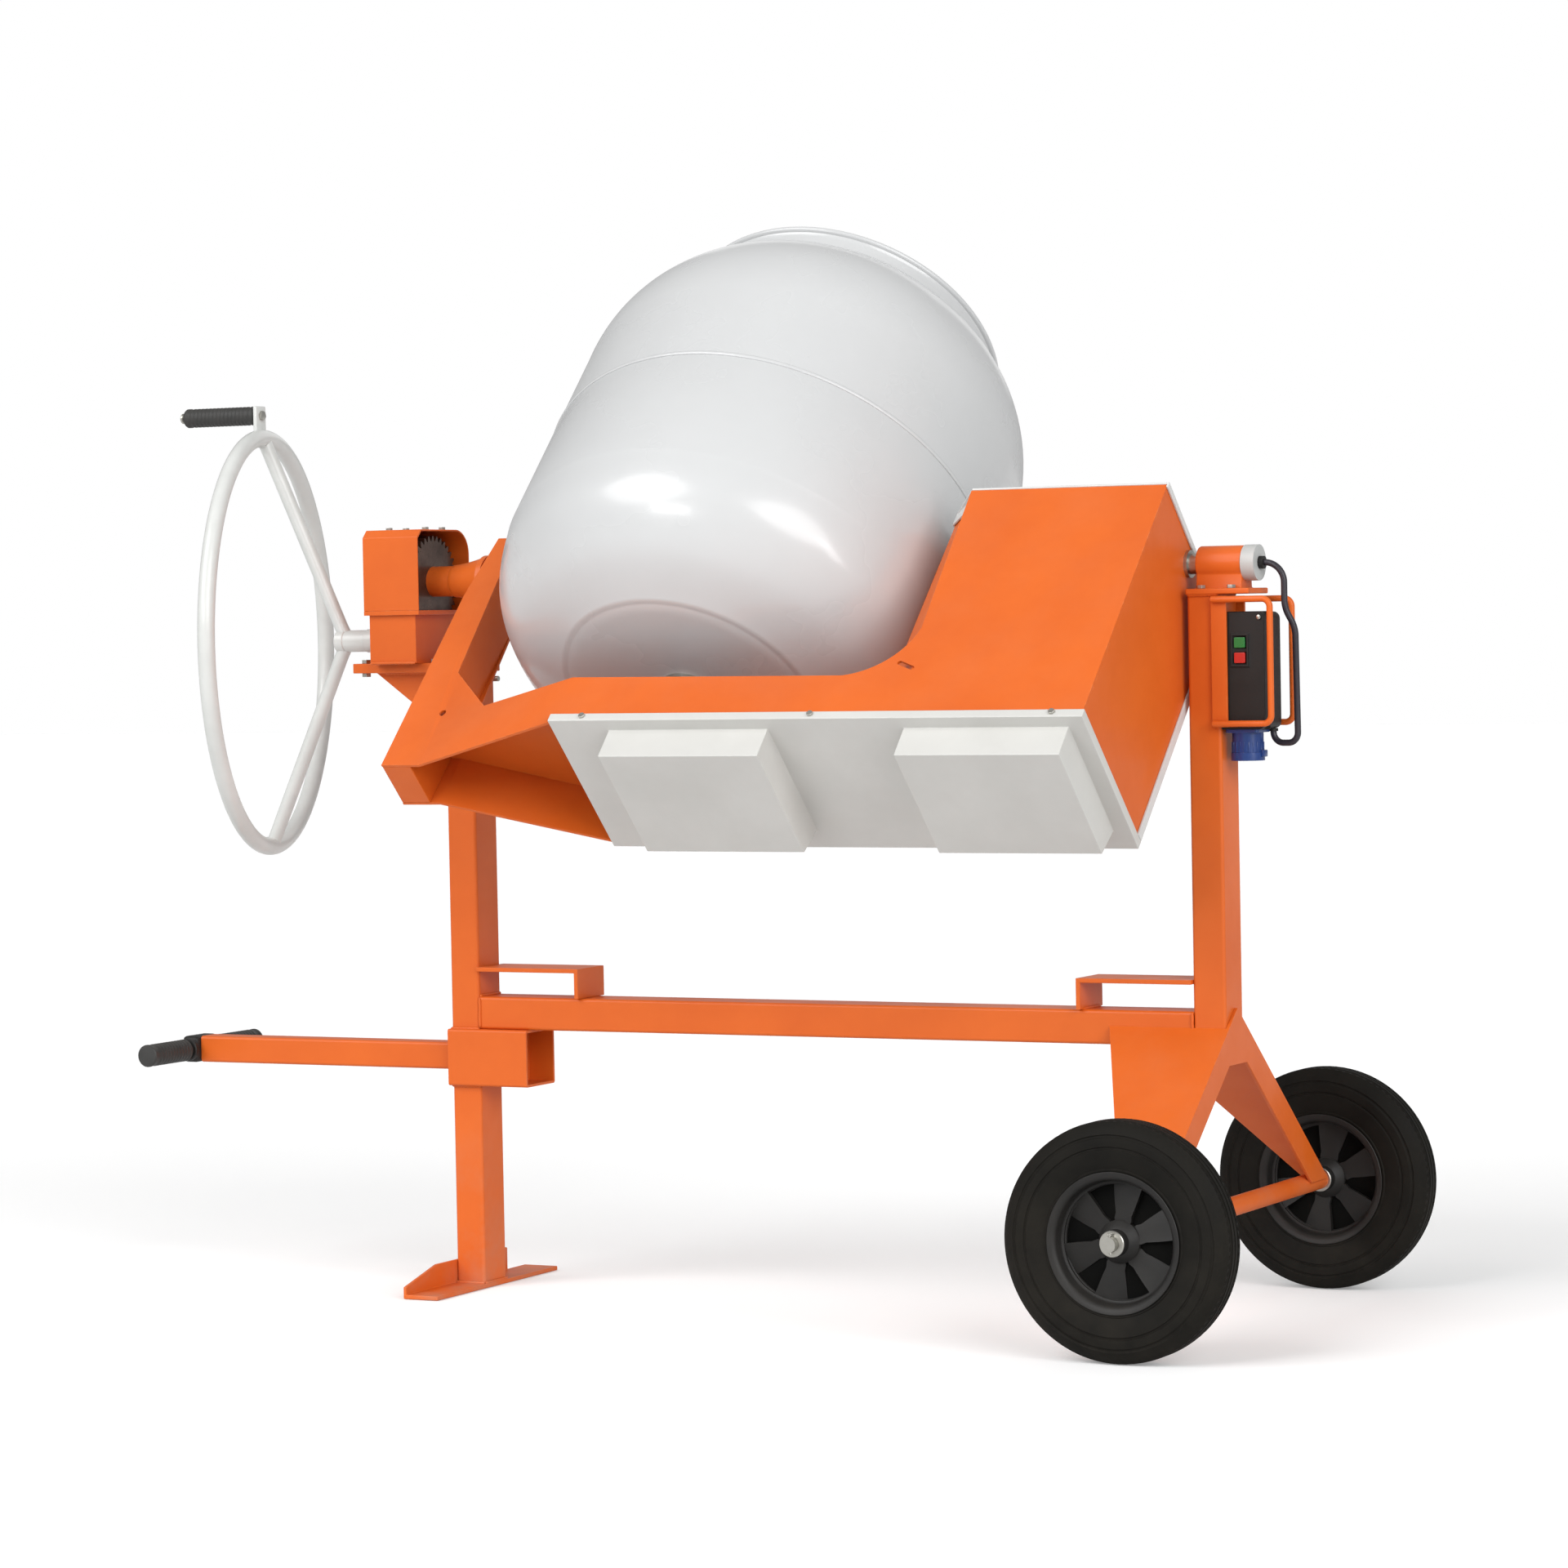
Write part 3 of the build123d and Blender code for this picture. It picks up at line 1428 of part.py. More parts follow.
build_foot_plate()
build_posts()
build_base_beam()
build_fork_straps()
build_drawbar_sleeve()
build_clamp_screw()
build_drawbar()
build_axle_frame()
build_axle()
build_wheel(-1, "front")
build_wheel(1, "rear")
build_gear_base()
build_gear_housing()
build_gear_cover()
build_bushes()
build_housing_bolts()
build_pinion_shaft()
build_handwheel()
build_handwheel_grip()
build_right_bearing()
build_switch_brackets()
build_switch_guards()
build_switch_box()
build_buttons()
build_power_inlet()
build_motor_lead()
build_left_arm()
build_cradle_plate(-1, "front_plate")
build_cradle_plate(1, "rear_plate")
build_case_sheets()
build_motor_box_walls()
build_drive_cover()
build_motor_box_cover()
build_cover_screws()
build_trunnions()
build_motor()
build_belt()
build_layshaft()
build_motor_pulley()
build_case_bearings()
build_drum()
build_mixing_blades()
build_drum_shaft()
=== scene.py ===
import math
import random
import bmesh
import bpy
from mathutils import Matrix, Vector


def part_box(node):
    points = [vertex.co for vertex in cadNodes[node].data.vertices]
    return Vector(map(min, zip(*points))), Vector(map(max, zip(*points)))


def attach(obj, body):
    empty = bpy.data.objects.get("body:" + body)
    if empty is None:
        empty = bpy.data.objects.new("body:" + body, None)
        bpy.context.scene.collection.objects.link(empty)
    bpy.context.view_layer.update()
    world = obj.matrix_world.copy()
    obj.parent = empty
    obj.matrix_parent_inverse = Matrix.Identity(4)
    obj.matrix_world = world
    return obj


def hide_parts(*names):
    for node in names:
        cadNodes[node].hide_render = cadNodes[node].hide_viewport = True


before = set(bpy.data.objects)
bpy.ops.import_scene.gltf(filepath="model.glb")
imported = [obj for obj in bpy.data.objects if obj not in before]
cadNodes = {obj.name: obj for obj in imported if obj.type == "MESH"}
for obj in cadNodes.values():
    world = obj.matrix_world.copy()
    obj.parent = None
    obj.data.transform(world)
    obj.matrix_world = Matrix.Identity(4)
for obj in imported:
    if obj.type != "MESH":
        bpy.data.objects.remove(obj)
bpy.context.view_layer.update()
random.seed(41)

stand = {
    "pivotHeight": 1.308,
    "lean": math.radians(45.0),  # drum axis from vertical at rest
    "pinionHeight": 1.200,
    "wheelTrack": 0.950,
    "axleX": 1.495,
    "axleHeight": 0.200,
}
pivot = Vector((0, 0, stand["pivotHeight"]))
rightWay, backWay, upWay = Vector((1, 0, 0)), Vector((0, 1, 0)), Vector((0, 0, 1))
axisDir = Vector((0, math.sin(stand["lean"]), math.cos(stand["lean"])))
acrossDir = Vector((0, math.cos(stand["lean"]), -math.sin(stand["lean"])))


def cradlePoint(x, across, along):
    return pivot + rightWay * x + acrossDir * across + axisDir * along


# node helpers
def wire(tree, source, target):
    tree.links.new(source, target)


def addNode(tree, kind, **settings):
    made = tree.nodes.new(kind)
    for key, value in settings.items():
        setattr(made, key, value)
    return made


def mathNode(tree, operation, first, second=None, clamp=False):
    made = addNode(tree, "ShaderNodeMath", operation=operation, use_clamp=clamp)
    for index, value in enumerate((first, second)):
        if value is None:
            continue
        if isinstance(value, (int, float)):
            made.inputs[index].default_value = value
        else:
            wire(tree, value, made.inputs[index])
    return made.outputs[0]


def mixColour(tree, factor, first, second):
    made = addNode(tree, "ShaderNodeMix", data_type="RGBA")
    for socket, value in ((made.inputs[0], factor), (made.inputs[6], first), (made.inputs[7], second)):
        if isinstance(value, (int, float)):
            socket.default_value = value
        elif isinstance(value, (tuple, list)):
            socket.default_value = (*value[:3], 1)
        else:
            wire(tree, value, socket)
    return made.outputs[2]


def rampNode(tree, value, low, high):
    made = addNode(tree, "ShaderNodeMapRange")
    made.inputs[1].default_value = low
    made.inputs[2].default_value = high
    wire(tree, value, made.inputs[0])
    return made.outputs[0]


def noiseNode(tree, vector, scale, detail=3.0, rough=0.55):
    made = addNode(tree, "ShaderNodeTexNoise")
    made.inputs["Detail"].default_value = detail
    made.inputs["Roughness"].default_value = rough
    wire(tree, vector, made.inputs["Vector"])
    if isinstance(scale, (int, float)):
        made.inputs["Scale"].default_value = scale
    else:
        wire(tree, scale, made.inputs["Scale"])
    return made.outputs[0]


def newGroup(name, inputs, outputs):
    tree = bpy.data.node_groups.new(name, "ShaderNodeTree")
    for label, default, low, high in inputs:
        socket = tree.interface.new_socket(name=label, in_out="INPUT", socket_type="NodeSocketFloat")
        socket.default_value = default
        socket.min_value = low
        socket.max_value = high
    for label in outputs:
        tree.interface.new_socket(name=label, in_out="OUTPUT", socket_type="NodeSocketFloat")
    return tree, addNode(tree, "NodeGroupInput"), addNode(tree, "NodeGroupOutput")


def makeEdgeWear():
    # bright rubbed arrises: where a rounded normal leaves the true one, broken up by noise
    tree, groupIn, groupOut = newGroup(
        "edgeWear",
        (("Radius", 0.003, 0, 0.05), ("Amount", 0.5, 0, 1), ("Patchiness", 60, 1, 500)),
        ("Mask",),
    )
    rounded = addNode(tree, "ShaderNodeBevel", samples=4)
    wire(tree, groupIn.outputs["Radius"], rounded.inputs["Radius"])
    flat = addNode(tree, "ShaderNodeNewGeometry")
    dot = addNode(tree, "ShaderNodeVectorMath", operation="DOT_PRODUCT")
    wire(tree, rounded.outputs[0], dot.inputs[0])
    wire(tree, flat.outputs["Normal"], dot.inputs[1])
    spread = rampNode(tree, mathNode(tree, "SUBTRACT", 1.0, dot.outputs["Value"]), 0.01, 0.16)
    place = addNode(tree, "ShaderNodeTexCoord")
    mottle = noiseNode(tree, place.outputs["Object"], groupIn.outputs["Patchiness"])
    patches = rampNode(tree, mottle, 0.46, 0.68)
    both = mathNode(tree, "MULTIPLY", spread, patches)
    mask = mathNode(tree, "MULTIPLY", both, groupIn.outputs["Amount"], clamp=True)
    wire(tree, mask, groupOut.inputs["Mask"])
    return tree


def makeDust():
    # grey site dust: settles on upward faces, splashes near the ground, both in soft patches
    tree, groupIn, groupOut = newGroup(
        "siteDust",
        (
            ("Settled", 0.3, 0, 1), ("Splashed", 0.3, 0, 1), ("Splash Height", 0.4, 0.01, 3),
            ("Patchiness", 9, 1, 200),
        ),
        ("Mask",),
    )
    place = addNode(tree, "ShaderNodeTexCoord")
    shape = addNode(tree, "ShaderNodeNewGeometry")
    up = addNode(tree, "ShaderNodeSeparateXYZ")
    wire(tree, shape.outputs["Normal"], up.inputs[0])
    height = addNode(tree, "ShaderNodeSeparateXYZ")
    wire(tree, place.outputs["Object"], height.inputs[0])
    mottle = noiseNode(tree, place.outputs["Object"], groupIn.outputs["Patchiness"], 5.0, 0.62)
    patches = rampNode(tree, mottle, 0.4, 0.72)
    settled = mathNode(tree, "MULTIPLY", rampNode(tree, up.outputs[2], 0.55, 1.0), groupIn.outputs["Settled"])
    lowDown = mathNode(tree, "DIVIDE", height.outputs[2], groupIn.outputs["Splash Height"])
    lowDown = mathNode(tree, "SUBTRACT", 1.0, lowDown, clamp=True)
    splashed = mathNode(tree, "MULTIPLY", lowDown, groupIn.outputs["Splashed"])
    total = mathNode(tree, "ADD", settled, splashed)
    wire(tree, mathNode(tree, "MULTIPLY", total, patches, clamp=True), groupOut.inputs["Mask"])
    return tree


def makeSurface():
    # fine height and broad variation: orange peel, moulded grain or brushed scratches by scale
    tree, groupIn, groupOut = newGroup(
        "surfaceGrain",
        (("Fine Scale", 400, 1, 5000), ("Broad Scale", 6, 0.1, 500), ("Stretch", 1, 0.01, 100)),
        ("Height", "Variation"),
    )
    place = addNode(tree, "ShaderNodeTexCoord")
    stretched = addNode(tree, "ShaderNodeVectorMath", operation="MULTIPLY")
    factors = addNode(tree, "ShaderNodeCombineXYZ")
    wire(tree, groupIn.outputs["Stretch"], factors.inputs[0])
    factors.inputs[1].default_value = 1
    factors.inputs[2].default_value = 1
    wire(tree, place.outputs["Object"], stretched.inputs[0])
    wire(tree, factors.outputs[0], stretched.inputs[1])
    fine = noiseNode(tree, stretched.outputs[0], groupIn.outputs["Fine Scale"], 2.0)
    broad = noiseNode(tree, place.outputs["Object"], groupIn.outputs["Broad Scale"], 4.0, 0.6)
    wire(tree, fine, groupOut.inputs["Height"])
    wire(tree, rampNode(tree, broad, 0.3, 0.7), groupOut.inputs["Variation"])
    return tree


edgeWearGroup = makeEdgeWear()
dustGroup = makeDust()
surfaceGroup = makeSurface()
print("shared effects ready")


def placeGroup(tree, group, *values):
    made = addNode(tree, "ShaderNodeGroup", node_tree=group)
    for socket, value in zip(made.inputs, values):
        socket.default_value = value
    return made


usualLook = {  # what a finish has unless it says otherwise
    "metal": 0, "coat": 0.0, "specular": 0.5, "fine": 900, "stretch": 1.0,
    "wear": 0.5, "wearRadius": 0.001, "splashed": 0.0, "splashHeight": 0.3,
}
finishes = {
    "orangePaint": {
        "colour": (0.68, 0.128, 0.014), "second": (0.62, 0.108, 0.010), "worn": (0.78, 0.28, 0.10),
        "rough": (0.38, 0.50), "coat": 0.08, "specular": 0.3, "peel": 0.10, "fine": 420, "broad": 5,
        "wear": 0.55, "wearRadius": 0.0025, "settled": 0.10, "splashed": 0.35, "splashHeight": 0.35,
        "dust": (0.42, 0.30, 0.22),
    },
    "drumPaint": {
        "colour": (0.575, 0.582, 0.585), "second": (0.54, 0.547, 0.55), "worn": (0.62, 0.62, 0.62),
        "rough": (0.24, 0.32), "coat": 0.35, "peel": 0.05, "fine": 160, "broad": 2.2,
        "wear": 0.25, "wearRadius": 0.003, "settled": 0.03, "dust": (0.45, 0.43, 0.40),
    },
    "drumInside": {
        "colour": (0.44, 0.45, 0.455), "second": (0.33, 0.33, 0.325), "worn": (0.5, 0.5, 0.49),
        "rough": (0.42, 0.62), "coat": 0.05, "peel": 0.22, "fine": 120, "broad": 7,
        "wearRadius": 0.003, "settled": 0.25, "dust": (0.36, 0.34, 0.31),
    },
    "tubeWhite": {
        "colour": (0.66, 0.67, 0.65), "second": (0.58, 0.59, 0.57), "worn": (0.42, 0.41, 0.39),
        "rough": (0.28, 0.40), "coat": 0.3, "peel": 0.07, "fine": 350, "broad": 7,
        "wear": 0.4, "wearRadius": 0.002, "settled": 0.06, "dust": (0.40, 0.37, 0.32),
    },
    "coverGrey": {
        "colour": (0.60, 0.595, 0.57), "second": (0.55, 0.545, 0.52), "worn": (0.74, 0.74, 0.72),
        "rough": (0.40, 0.50), "coat": 0.1, "peel": 0.12, "fine": 500, "broad": 6,
        "wear": 0.35, "wearRadius": 0.002, "settled": 0.05, "dust": (0.36, 0.33, 0.28),
    },
    "lidWhite": {
        "colour": (0.68, 0.69, 0.68), "second": (0.60, 0.61, 0.60), "worn": (0.50, 0.50, 0.48),
        "rough": (0.34, 0.44), "coat": 0.15, "peel": 0.10, "fine": 500, "broad": 6,
        "wear": 0.35, "wearRadius": 0.002, "settled": 0.08, "dust": (0.40, 0.37, 0.32),
    },
    "motorEnamel": {
        "colour": (0.10, 0.14, 0.18), "second": (0.07, 0.10, 0.13), "worn": (0.35, 0.36, 0.36),
        "rough": (0.35, 0.5), "coat": 0.1, "peel": 0.25, "fine": 300, "broad": 9,
        "wearRadius": 0.002, "settled": 0.3, "dust": (0.30, 0.28, 0.25),
    },
    # painted shade: a near-black fill for the rim's openings, standing in for the shade seen through them
    "rimOpeningShade": {
        "colour": (0.0030, 0.0030, 0.0028), "second": (0.005, 0.005, 0.0045), "worn": (0.012, 0.012, 0.011),
        "rough": (0.70, 0.85), "peel": 0.3, "broad": 14, "specular": 0.05,
        "wear": 0.2, "settled": 0.0, "splashed": 0.05, "splashHeight": 0.4, "dust": (0.03, 0.026, 0.02),
    },
    "blackPlastic": {
        "colour": (0.009, 0.0085, 0.008), "second": (0.014, 0.013, 0.012), "worn": (0.045, 0.042, 0.038),
        "rough": (0.44, 0.58), "peel": 0.35, "fine": 1200, "broad": 12, "specular": 0.35,
        "wearRadius": 0.0015, "settled": 0.08, "splashed": 0.12, "splashHeight": 0.5,
        "dust": (0.09, 0.075, 0.058),
    },
    "tyreRubber": {
        "colour": (0.0065, 0.0060, 0.0050), "second": (0.011, 0.010, 0.008), "worn": (0.032, 0.030, 0.026),
        "rough": (0.56, 0.70), "peel": 0.35, "broad": 14, "specular": 0.10,
        "wear": 0.45, "wearRadius": 0.002, "settled": 0.06, "splashed": 0.16, "splashHeight": 0.45,
        "dust": (0.07, 0.058, 0.044),
    },
    "gripRubber": {
        "colour": (0.020, 0.020, 0.019), "second": (0.032, 0.031, 0.029), "worn": (0.09, 0.088, 0.08),
        "rough": (0.46, 0.62), "peel": 0.45, "broad": 22,
        "wearRadius": 0.002, "settled": 0.15, "dust": (0.2, 0.18, 0.15),
    },
    "cableSheath": {
        "colour": (0.016, 0.013, 0.020), "second": (0.024, 0.020, 0.028), "worn": (0.08, 0.07, 0.08),
        "rough": (0.36, 0.48), "peel": 0.2, "fine": 1500, "broad": 25,
        "wear": 0.3, "settled": 0.15, "dust": (0.2, 0.18, 0.16),
    },
    "capPlastic": {
        "colour": (0.50, 0.51, 0.50), "second": (0.44, 0.45, 0.44), "worn": (0.7, 0.7, 0.68),
        "rough": (0.34, 0.44), "peel": 0.2, "broad": 20,
        "wear": 0.4, "settled": 0.1, "dust": (0.3, 0.28, 0.25),
    },
    "inletBlue": {
        "colour": (0.006, 0.030, 0.150), "second": (0.008, 0.040, 0.190), "worn": (0.10, 0.16, 0.34),
        "rough": (0.26, 0.36), "coat": 0.15, "peel": 0.12, "broad": 20,
        "settled": 0.08, "dust": (0.2, 0.2, 0.22),
    },
    "buttonGreen": {
        "colour": (0.012, 0.18, 0.035), "second": (0.014, 0.15, 0.03), "worn": (0.2, 0.4, 0.2),
        "rough": (0.24, 0.34), "coat": 0.2, "peel": 0.08, "fine": 1500, "broad": 40,
        "wear": 0.4, "wearRadius": 0.0008, "settled": 0.05, "dust": (0.25, 0.25, 0.22),
    },
    "buttonRed": {
        "colour": (0.52, 0.018, 0.010), "second": (0.44, 0.014, 0.009), "worn": (0.7, 0.25, 0.2),
        "rough": (0.24, 0.34), "coat": 0.2, "peel": 0.08, "fine": 1500, "broad": 40,
        "wear": 0.4, "wearRadius": 0.0008, "settled": 0.05, "dust": (0.3, 0.25, 0.22),
    },
    "zincSteel": {
        "colour": (0.52, 0.51, 0.47), "second": (0.42, 0.41, 0.37), "worn": (0.75, 0.74, 0.72), "metal": 1,
        "rough": (0.28, 0.42), "peel": 0.12, "fine": 700, "broad": 30, "stretch": 0.15,
        "settled": 0.1, "splashed": 0.2, "splashHeight": 0.4, "dust": (0.2, 0.17, 0.13),
    },
    "greasedSteel": {
        "colour": (0.120, 0.068, 0.045), "second": (0.055, 0.033, 0.024), "worn": (0.36, 0.31, 0.27),
        "metal": 0.5,
        "rough": (0.22, 0.48), "coat": 0.3, "peel": 0.35, "fine": 180, "broad": 26,
        "wear": 0.6, "wearRadius": 0.0015, "settled": 0.3, "dust": (0.05, 0.035, 0.025),
    },
    "bushBronze": {
        "colour": (0.48, 0.27, 0.11), "second": (0.36, 0.20, 0.08), "worn": (0.75, 0.55, 0.32), "metal": 1,
        "rough": (0.28, 0.42), "peel": 0.15, "fine": 600, "broad": 40,
        "settled": 0.1, "dust": (0.1, 0.07, 0.05),
    },
}
paintWork = {"wearPatches": 55.0, "dustDulls": 0.35, "coatRough": 0.12, "bumpDepth": 0.0006}


def makeFinish(name, look):
    material = bpy.data.materials.new(name)
    material.use_nodes = True
    tree = material.node_tree
    shader = tree.nodes["Principled BSDF"]
    grain = placeGroup(tree, surfaceGroup, look["fine"], look["broad"], look["stretch"])
    wear = placeGroup(tree, edgeWearGroup, look["wearRadius"], look["wear"], paintWork["wearPatches"])
    dust = placeGroup(tree, dustGroup, look["settled"], look["splashed"], look["splashHeight"])
    base = mixColour(tree, grain.outputs["Variation"], look["colour"], look["second"])
    rubbed = mixColour(tree, wear.outputs["Mask"], base, look["worn"])
    dusty = mixColour(tree, dust.outputs["Mask"], rubbed, look["dust"])
    wire(tree, dusty, shader.inputs["Base Color"])
    smooth, dull = look["rough"]
    gloss = mathNode(tree, "MULTIPLY", grain.outputs["Variation"], dull - smooth)
    gloss = mathNode(tree, "ADD", gloss, smooth)
    dulled = mathNode(tree, "MULTIPLY", dust.outputs["Mask"], paintWork["dustDulls"])
    gloss = mathNode(tree, "ADD", gloss, dulled, clamp=True)
    wire(tree, gloss, shader.inputs["Roughness"])
    shader.inputs["Metallic"].default_value = look["metal"]
    shader.inputs["Coat Weight"].default_value = look["coat"]
    shader.inputs["Coat Roughness"].default_value = paintWork["coatRough"]
    shader.inputs["Specular IOR Level"].default_value = look["specular"]
    bump = addNode(tree, "ShaderNodeBump")
    bump.inputs["Strength"].default_value = look["peel"]
    bump.inputs["Distance"].default_value = paintWork["bumpDepth"]
    wire(tree, grain.outputs["Height"], bump.inputs["Height"])
    wire(tree, bump.outputs[0], shader.inputs["Normal"])
    return material


finish = {name: makeFinish(name, {**usualLook, **look}) for name, look in finishes.items()}
print("finishes ready:", len(finish))


# mesh helpers
def newObject(name, data):
    made = bpy.data.objects.new(name, data)
    bpy.context.scene.collection.objects.link(made)
    return made


def meshFrom(shape, name):
    mesh = bpy.data.meshes.new(name)
    shape.to_mesh(mesh)
    shape.free()
    return mesh


def finishPiece(name, shape, body, look, replaced=(), smoothAngle=38, plate=False):
    bmesh.ops.recalc_face_normals(shape, faces=shape.faces)
    mesh = meshFrom(shape, name)
    for polygon in mesh.polygons:
        polygon.use_smooth = True
    mesh.set_sharp_from_angle(angle=math.radians(smoothAngle))
    piece = newObject(name, mesh)
    mesh.materials.clear()  # also puts every face in the first slot
    mesh.materials.append(finish[look])
    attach(piece, body)
    if plate:
        # keeps big flats flat up to their rounded edges
        steady = piece.modifiers.new("flatFaces", "WEIGHTED_NORMAL")
        steady.keep_sharp = True
        steady.weight = 90
    if replaced:
        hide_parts(*replaced)


def softenedCopy(node, width, segments=2, angle=32):
    # the plate or tube again, with its coplanar facets joined and its arrises rounded
    shape = bmesh.new()
    shape.from_mesh(cadNodes[node].data)
    bmesh.ops.remove_doubles(shape, verts=shape.verts, dist=0.00002)
    bmesh.ops.dissolve_limit(shape, angle_limit=math.radians(0.6), verts=shape.verts, edges=shape.edges)
    limit = math.radians(angle)
    sharp = [e for e in shape.edges if len(e.link_faces) == 2 and e.calc_face_angle(0) > limit]
    bmesh.ops.bevel(
        shape, geom=sharp, offset=width, segments=segments, profile=0.5,
        affect="EDGES", clamp_overlap=True, harden_normals=False,
    )
    bmesh.ops.dissolve_degenerate(shape, edges=shape.edges, dist=0.000005)
    return shape


def turns(steps):
    return [2 * math.pi * step / steps for step in range(steps)]


def revolveInto(shape, profile, origin, axis, radial, steps, closed=True):
    # profile of (radius, along) turned about an axis; a radius of 0 makes a pole
    side = axis.cross(radial).normalized()
    rings = []
    for angle in turns(steps):
        out = radial * math.cos(angle) + side * math.sin(angle)
        rings.append([None if r < 1e-7 else shape.verts.new(origin + out * r + axis * h) for r, h in profile])
    poles = {i: shape.verts.new(origin + axis * h) for i, (r, h) in enumerate(profile) if r < 1e-7}
    count = len(profile)
    spans = range(count) if closed else range(count - 1)
    for step in range(steps):
        here = rings[step]
        there = rings[(step + 1) % steps]
        for i in spans:
            j = (i + 1) % count
            corners = []
            for vert, pole in ((here[i], i), (here[j], j), (there[j], j), (there[i], i)):
                vert = vert or poles[pole]
                if vert not in corners:
                    corners.append(vert)
            if len(corners) > 2:
                shape.faces.new(corners)


def tubeInto(shape, points, radius, steps=16, closed=False):
    # round tube along points, its section carried without twist; radius may vary by point
    points = [Vector(p) for p in points]
    count = len(points)
    radii = radius if isinstance(radius, list) else [radius] * count
    tangents = []
    for i in range(count):
        before = points[i - 1] if (closed or i) else points[i]
        after = points[(i + 1) % count] if (closed or i < count - 1) else points[i]
        tangents.append((after - before).normalized())
    normal = tangents[0].orthogonal().normalized()
    rings = []
    for i in range(count):
        normal = (normal - tangents[i] * normal.dot(tangents[i])).normalized()
        other = tangents[i].cross(normal)
        rings.append([
            shape.verts.new(points[i] + (normal * math.cos(a) + other * math.sin(a)) * radii[i])
            for a in turns(steps)
        ])
    for i in range(count if closed else count - 1):
        here, there = rings[i], rings[(i + 1) % count]
        for s in range(steps):
            t = (s + 1) % steps
            shape.faces.new((here[s], here[t], there[t], there[s]))
    if not closed:
        shape.faces.new(rings[0][::-1])
        shape.faces.new(rings[-1])


def blockInto(shape, centre, size, turn=None, bevel=0.0, segments=2):
    made = bmesh.ops.create_cube(shape, size=1.0)
    turned = turn.to_4x4() if turn else Matrix.Identity(4)
    place = Matrix.Translation(centre) @ turned @ Matrix.Diagonal((*size, 1))
    bmesh.ops.transform(shape, matrix=place, verts=made["verts"])
    if bevel:
        edges = list({e for v in made["verts"] for e in v.link_edges})
        bmesh.ops.bevel(
            shape, geom=edges, offset=bevel, segments=segments, profile=0.5, affect="EDGES",
            clamp_overlap=True,
        )


def hexInto(shape, centre, axis, across, height, chamfer=0.12):
    # hexagon head with a chamfered top
    radial = axis.orthogonal().normalized()
    side = axis.cross(radial)
    r = across / math.sqrt(3)
    rings = []
    for lift, scale in ((0, 1), (height * (1 - chamfer), 1), (height, 0.86)):
        rings.append([
            shape.verts.new(centre + axis * lift + (radial * math.cos(a) + side * math.sin(a)) * r * scale)
            for a in turns(6)
        ])
    for low, high in zip(rings, rings[1:]):
        for k in range(6):
            shape.faces.new((low[k], low[(k + 1) % 6], high[(k + 1) % 6], high[k]))
    shape.faces.new(rings[0][::-1])
    shape.faces.new(rings[-1])


def washerInto(shape, centre, axis, inner, outer, height, steps=28):
    edge = height * 0.25
    profile = [
        (inner, 0), (outer - edge, 0), (outer, edge), (outer, height - edge), (outer - edge, height),
        (inner, height),
    ]
    revolveInto(shape, profile, centre, axis, axis.orthogonal().normalized(), steps)


def weldInto(shape, start, end, radius=0.0028, pitch=0.0035):
    # stacked-coin bead along a joint
    start, end = Vector(start), Vector(end)
    count = max(4, int((end - start).length / pitch))
    wobble = (end - start).orthogonal().normalized()
    points, radii = [], []
    for i in range(count + 1):
        t = i / count
        points.append(start.lerp(end, t) + wobble * random.uniform(-0.0004, 0.0004))
        swell = 1.16 if i % 2 else 0.92
        ends = 0.6 if i in (0, count) else 1
        radii.append(radius * swell * ends * random.uniform(0.93, 1.07))
    tubeInto(shape, points, radii, steps=8)


# camera, light, floor
viewSettings = {
    "lens": 112.73, "sensor": 36.0,
    "place": (4.64725, -7.84468, 1.23214),
    "right": (0.89114083, 0.45332895, -0.01899683),
    "up": (0.00140423, 0.03911268, 0.99923382),
    "forward": (-0.45372463, 0.89048473, -0.03421833),
}


def makeCamera():
    data = bpy.data.cameras.new("camera")
    data.lens = viewSettings["lens"]
    data.sensor_width = viewSettings["sensor"]
    data.clip_end = 100
    camera = newObject("camera", data)
    turn = Matrix((viewSettings["right"], viewSettings["up"], -Vector(viewSettings["forward"]))).transposed()
    camera.matrix_world = Matrix.Translation(viewSettings["place"]) @ turn.to_4x4()
    bpy.context.scene.camera = camera


lamps = {
    "windowLeft": {"place": (-0.3, -5.5, 2.7), "aim": (0.7, 0, 1.3), "size": (1.7, 0.8), "watts": 36},
    "stripRight": {"place": (5.6, -2.3, 2.0), "aim": (0.9, 0, 1.2), "size": (0.7, 1.7), "watts": 26},
    "backFill": {"place": (-1.0, 5.0, 3.2), "aim": (0.6, 0, 1.0), "size": (3.0, 2.0), "watts": 12},
}
daylight = {
    "suns": (((-0.42, -0.78, 0.66), 1.7), ((0.75, -0.55, 0.45), 1.6)),
    "spread": math.radians(40), "room": 0.42, "backdrop": 1.0,
}


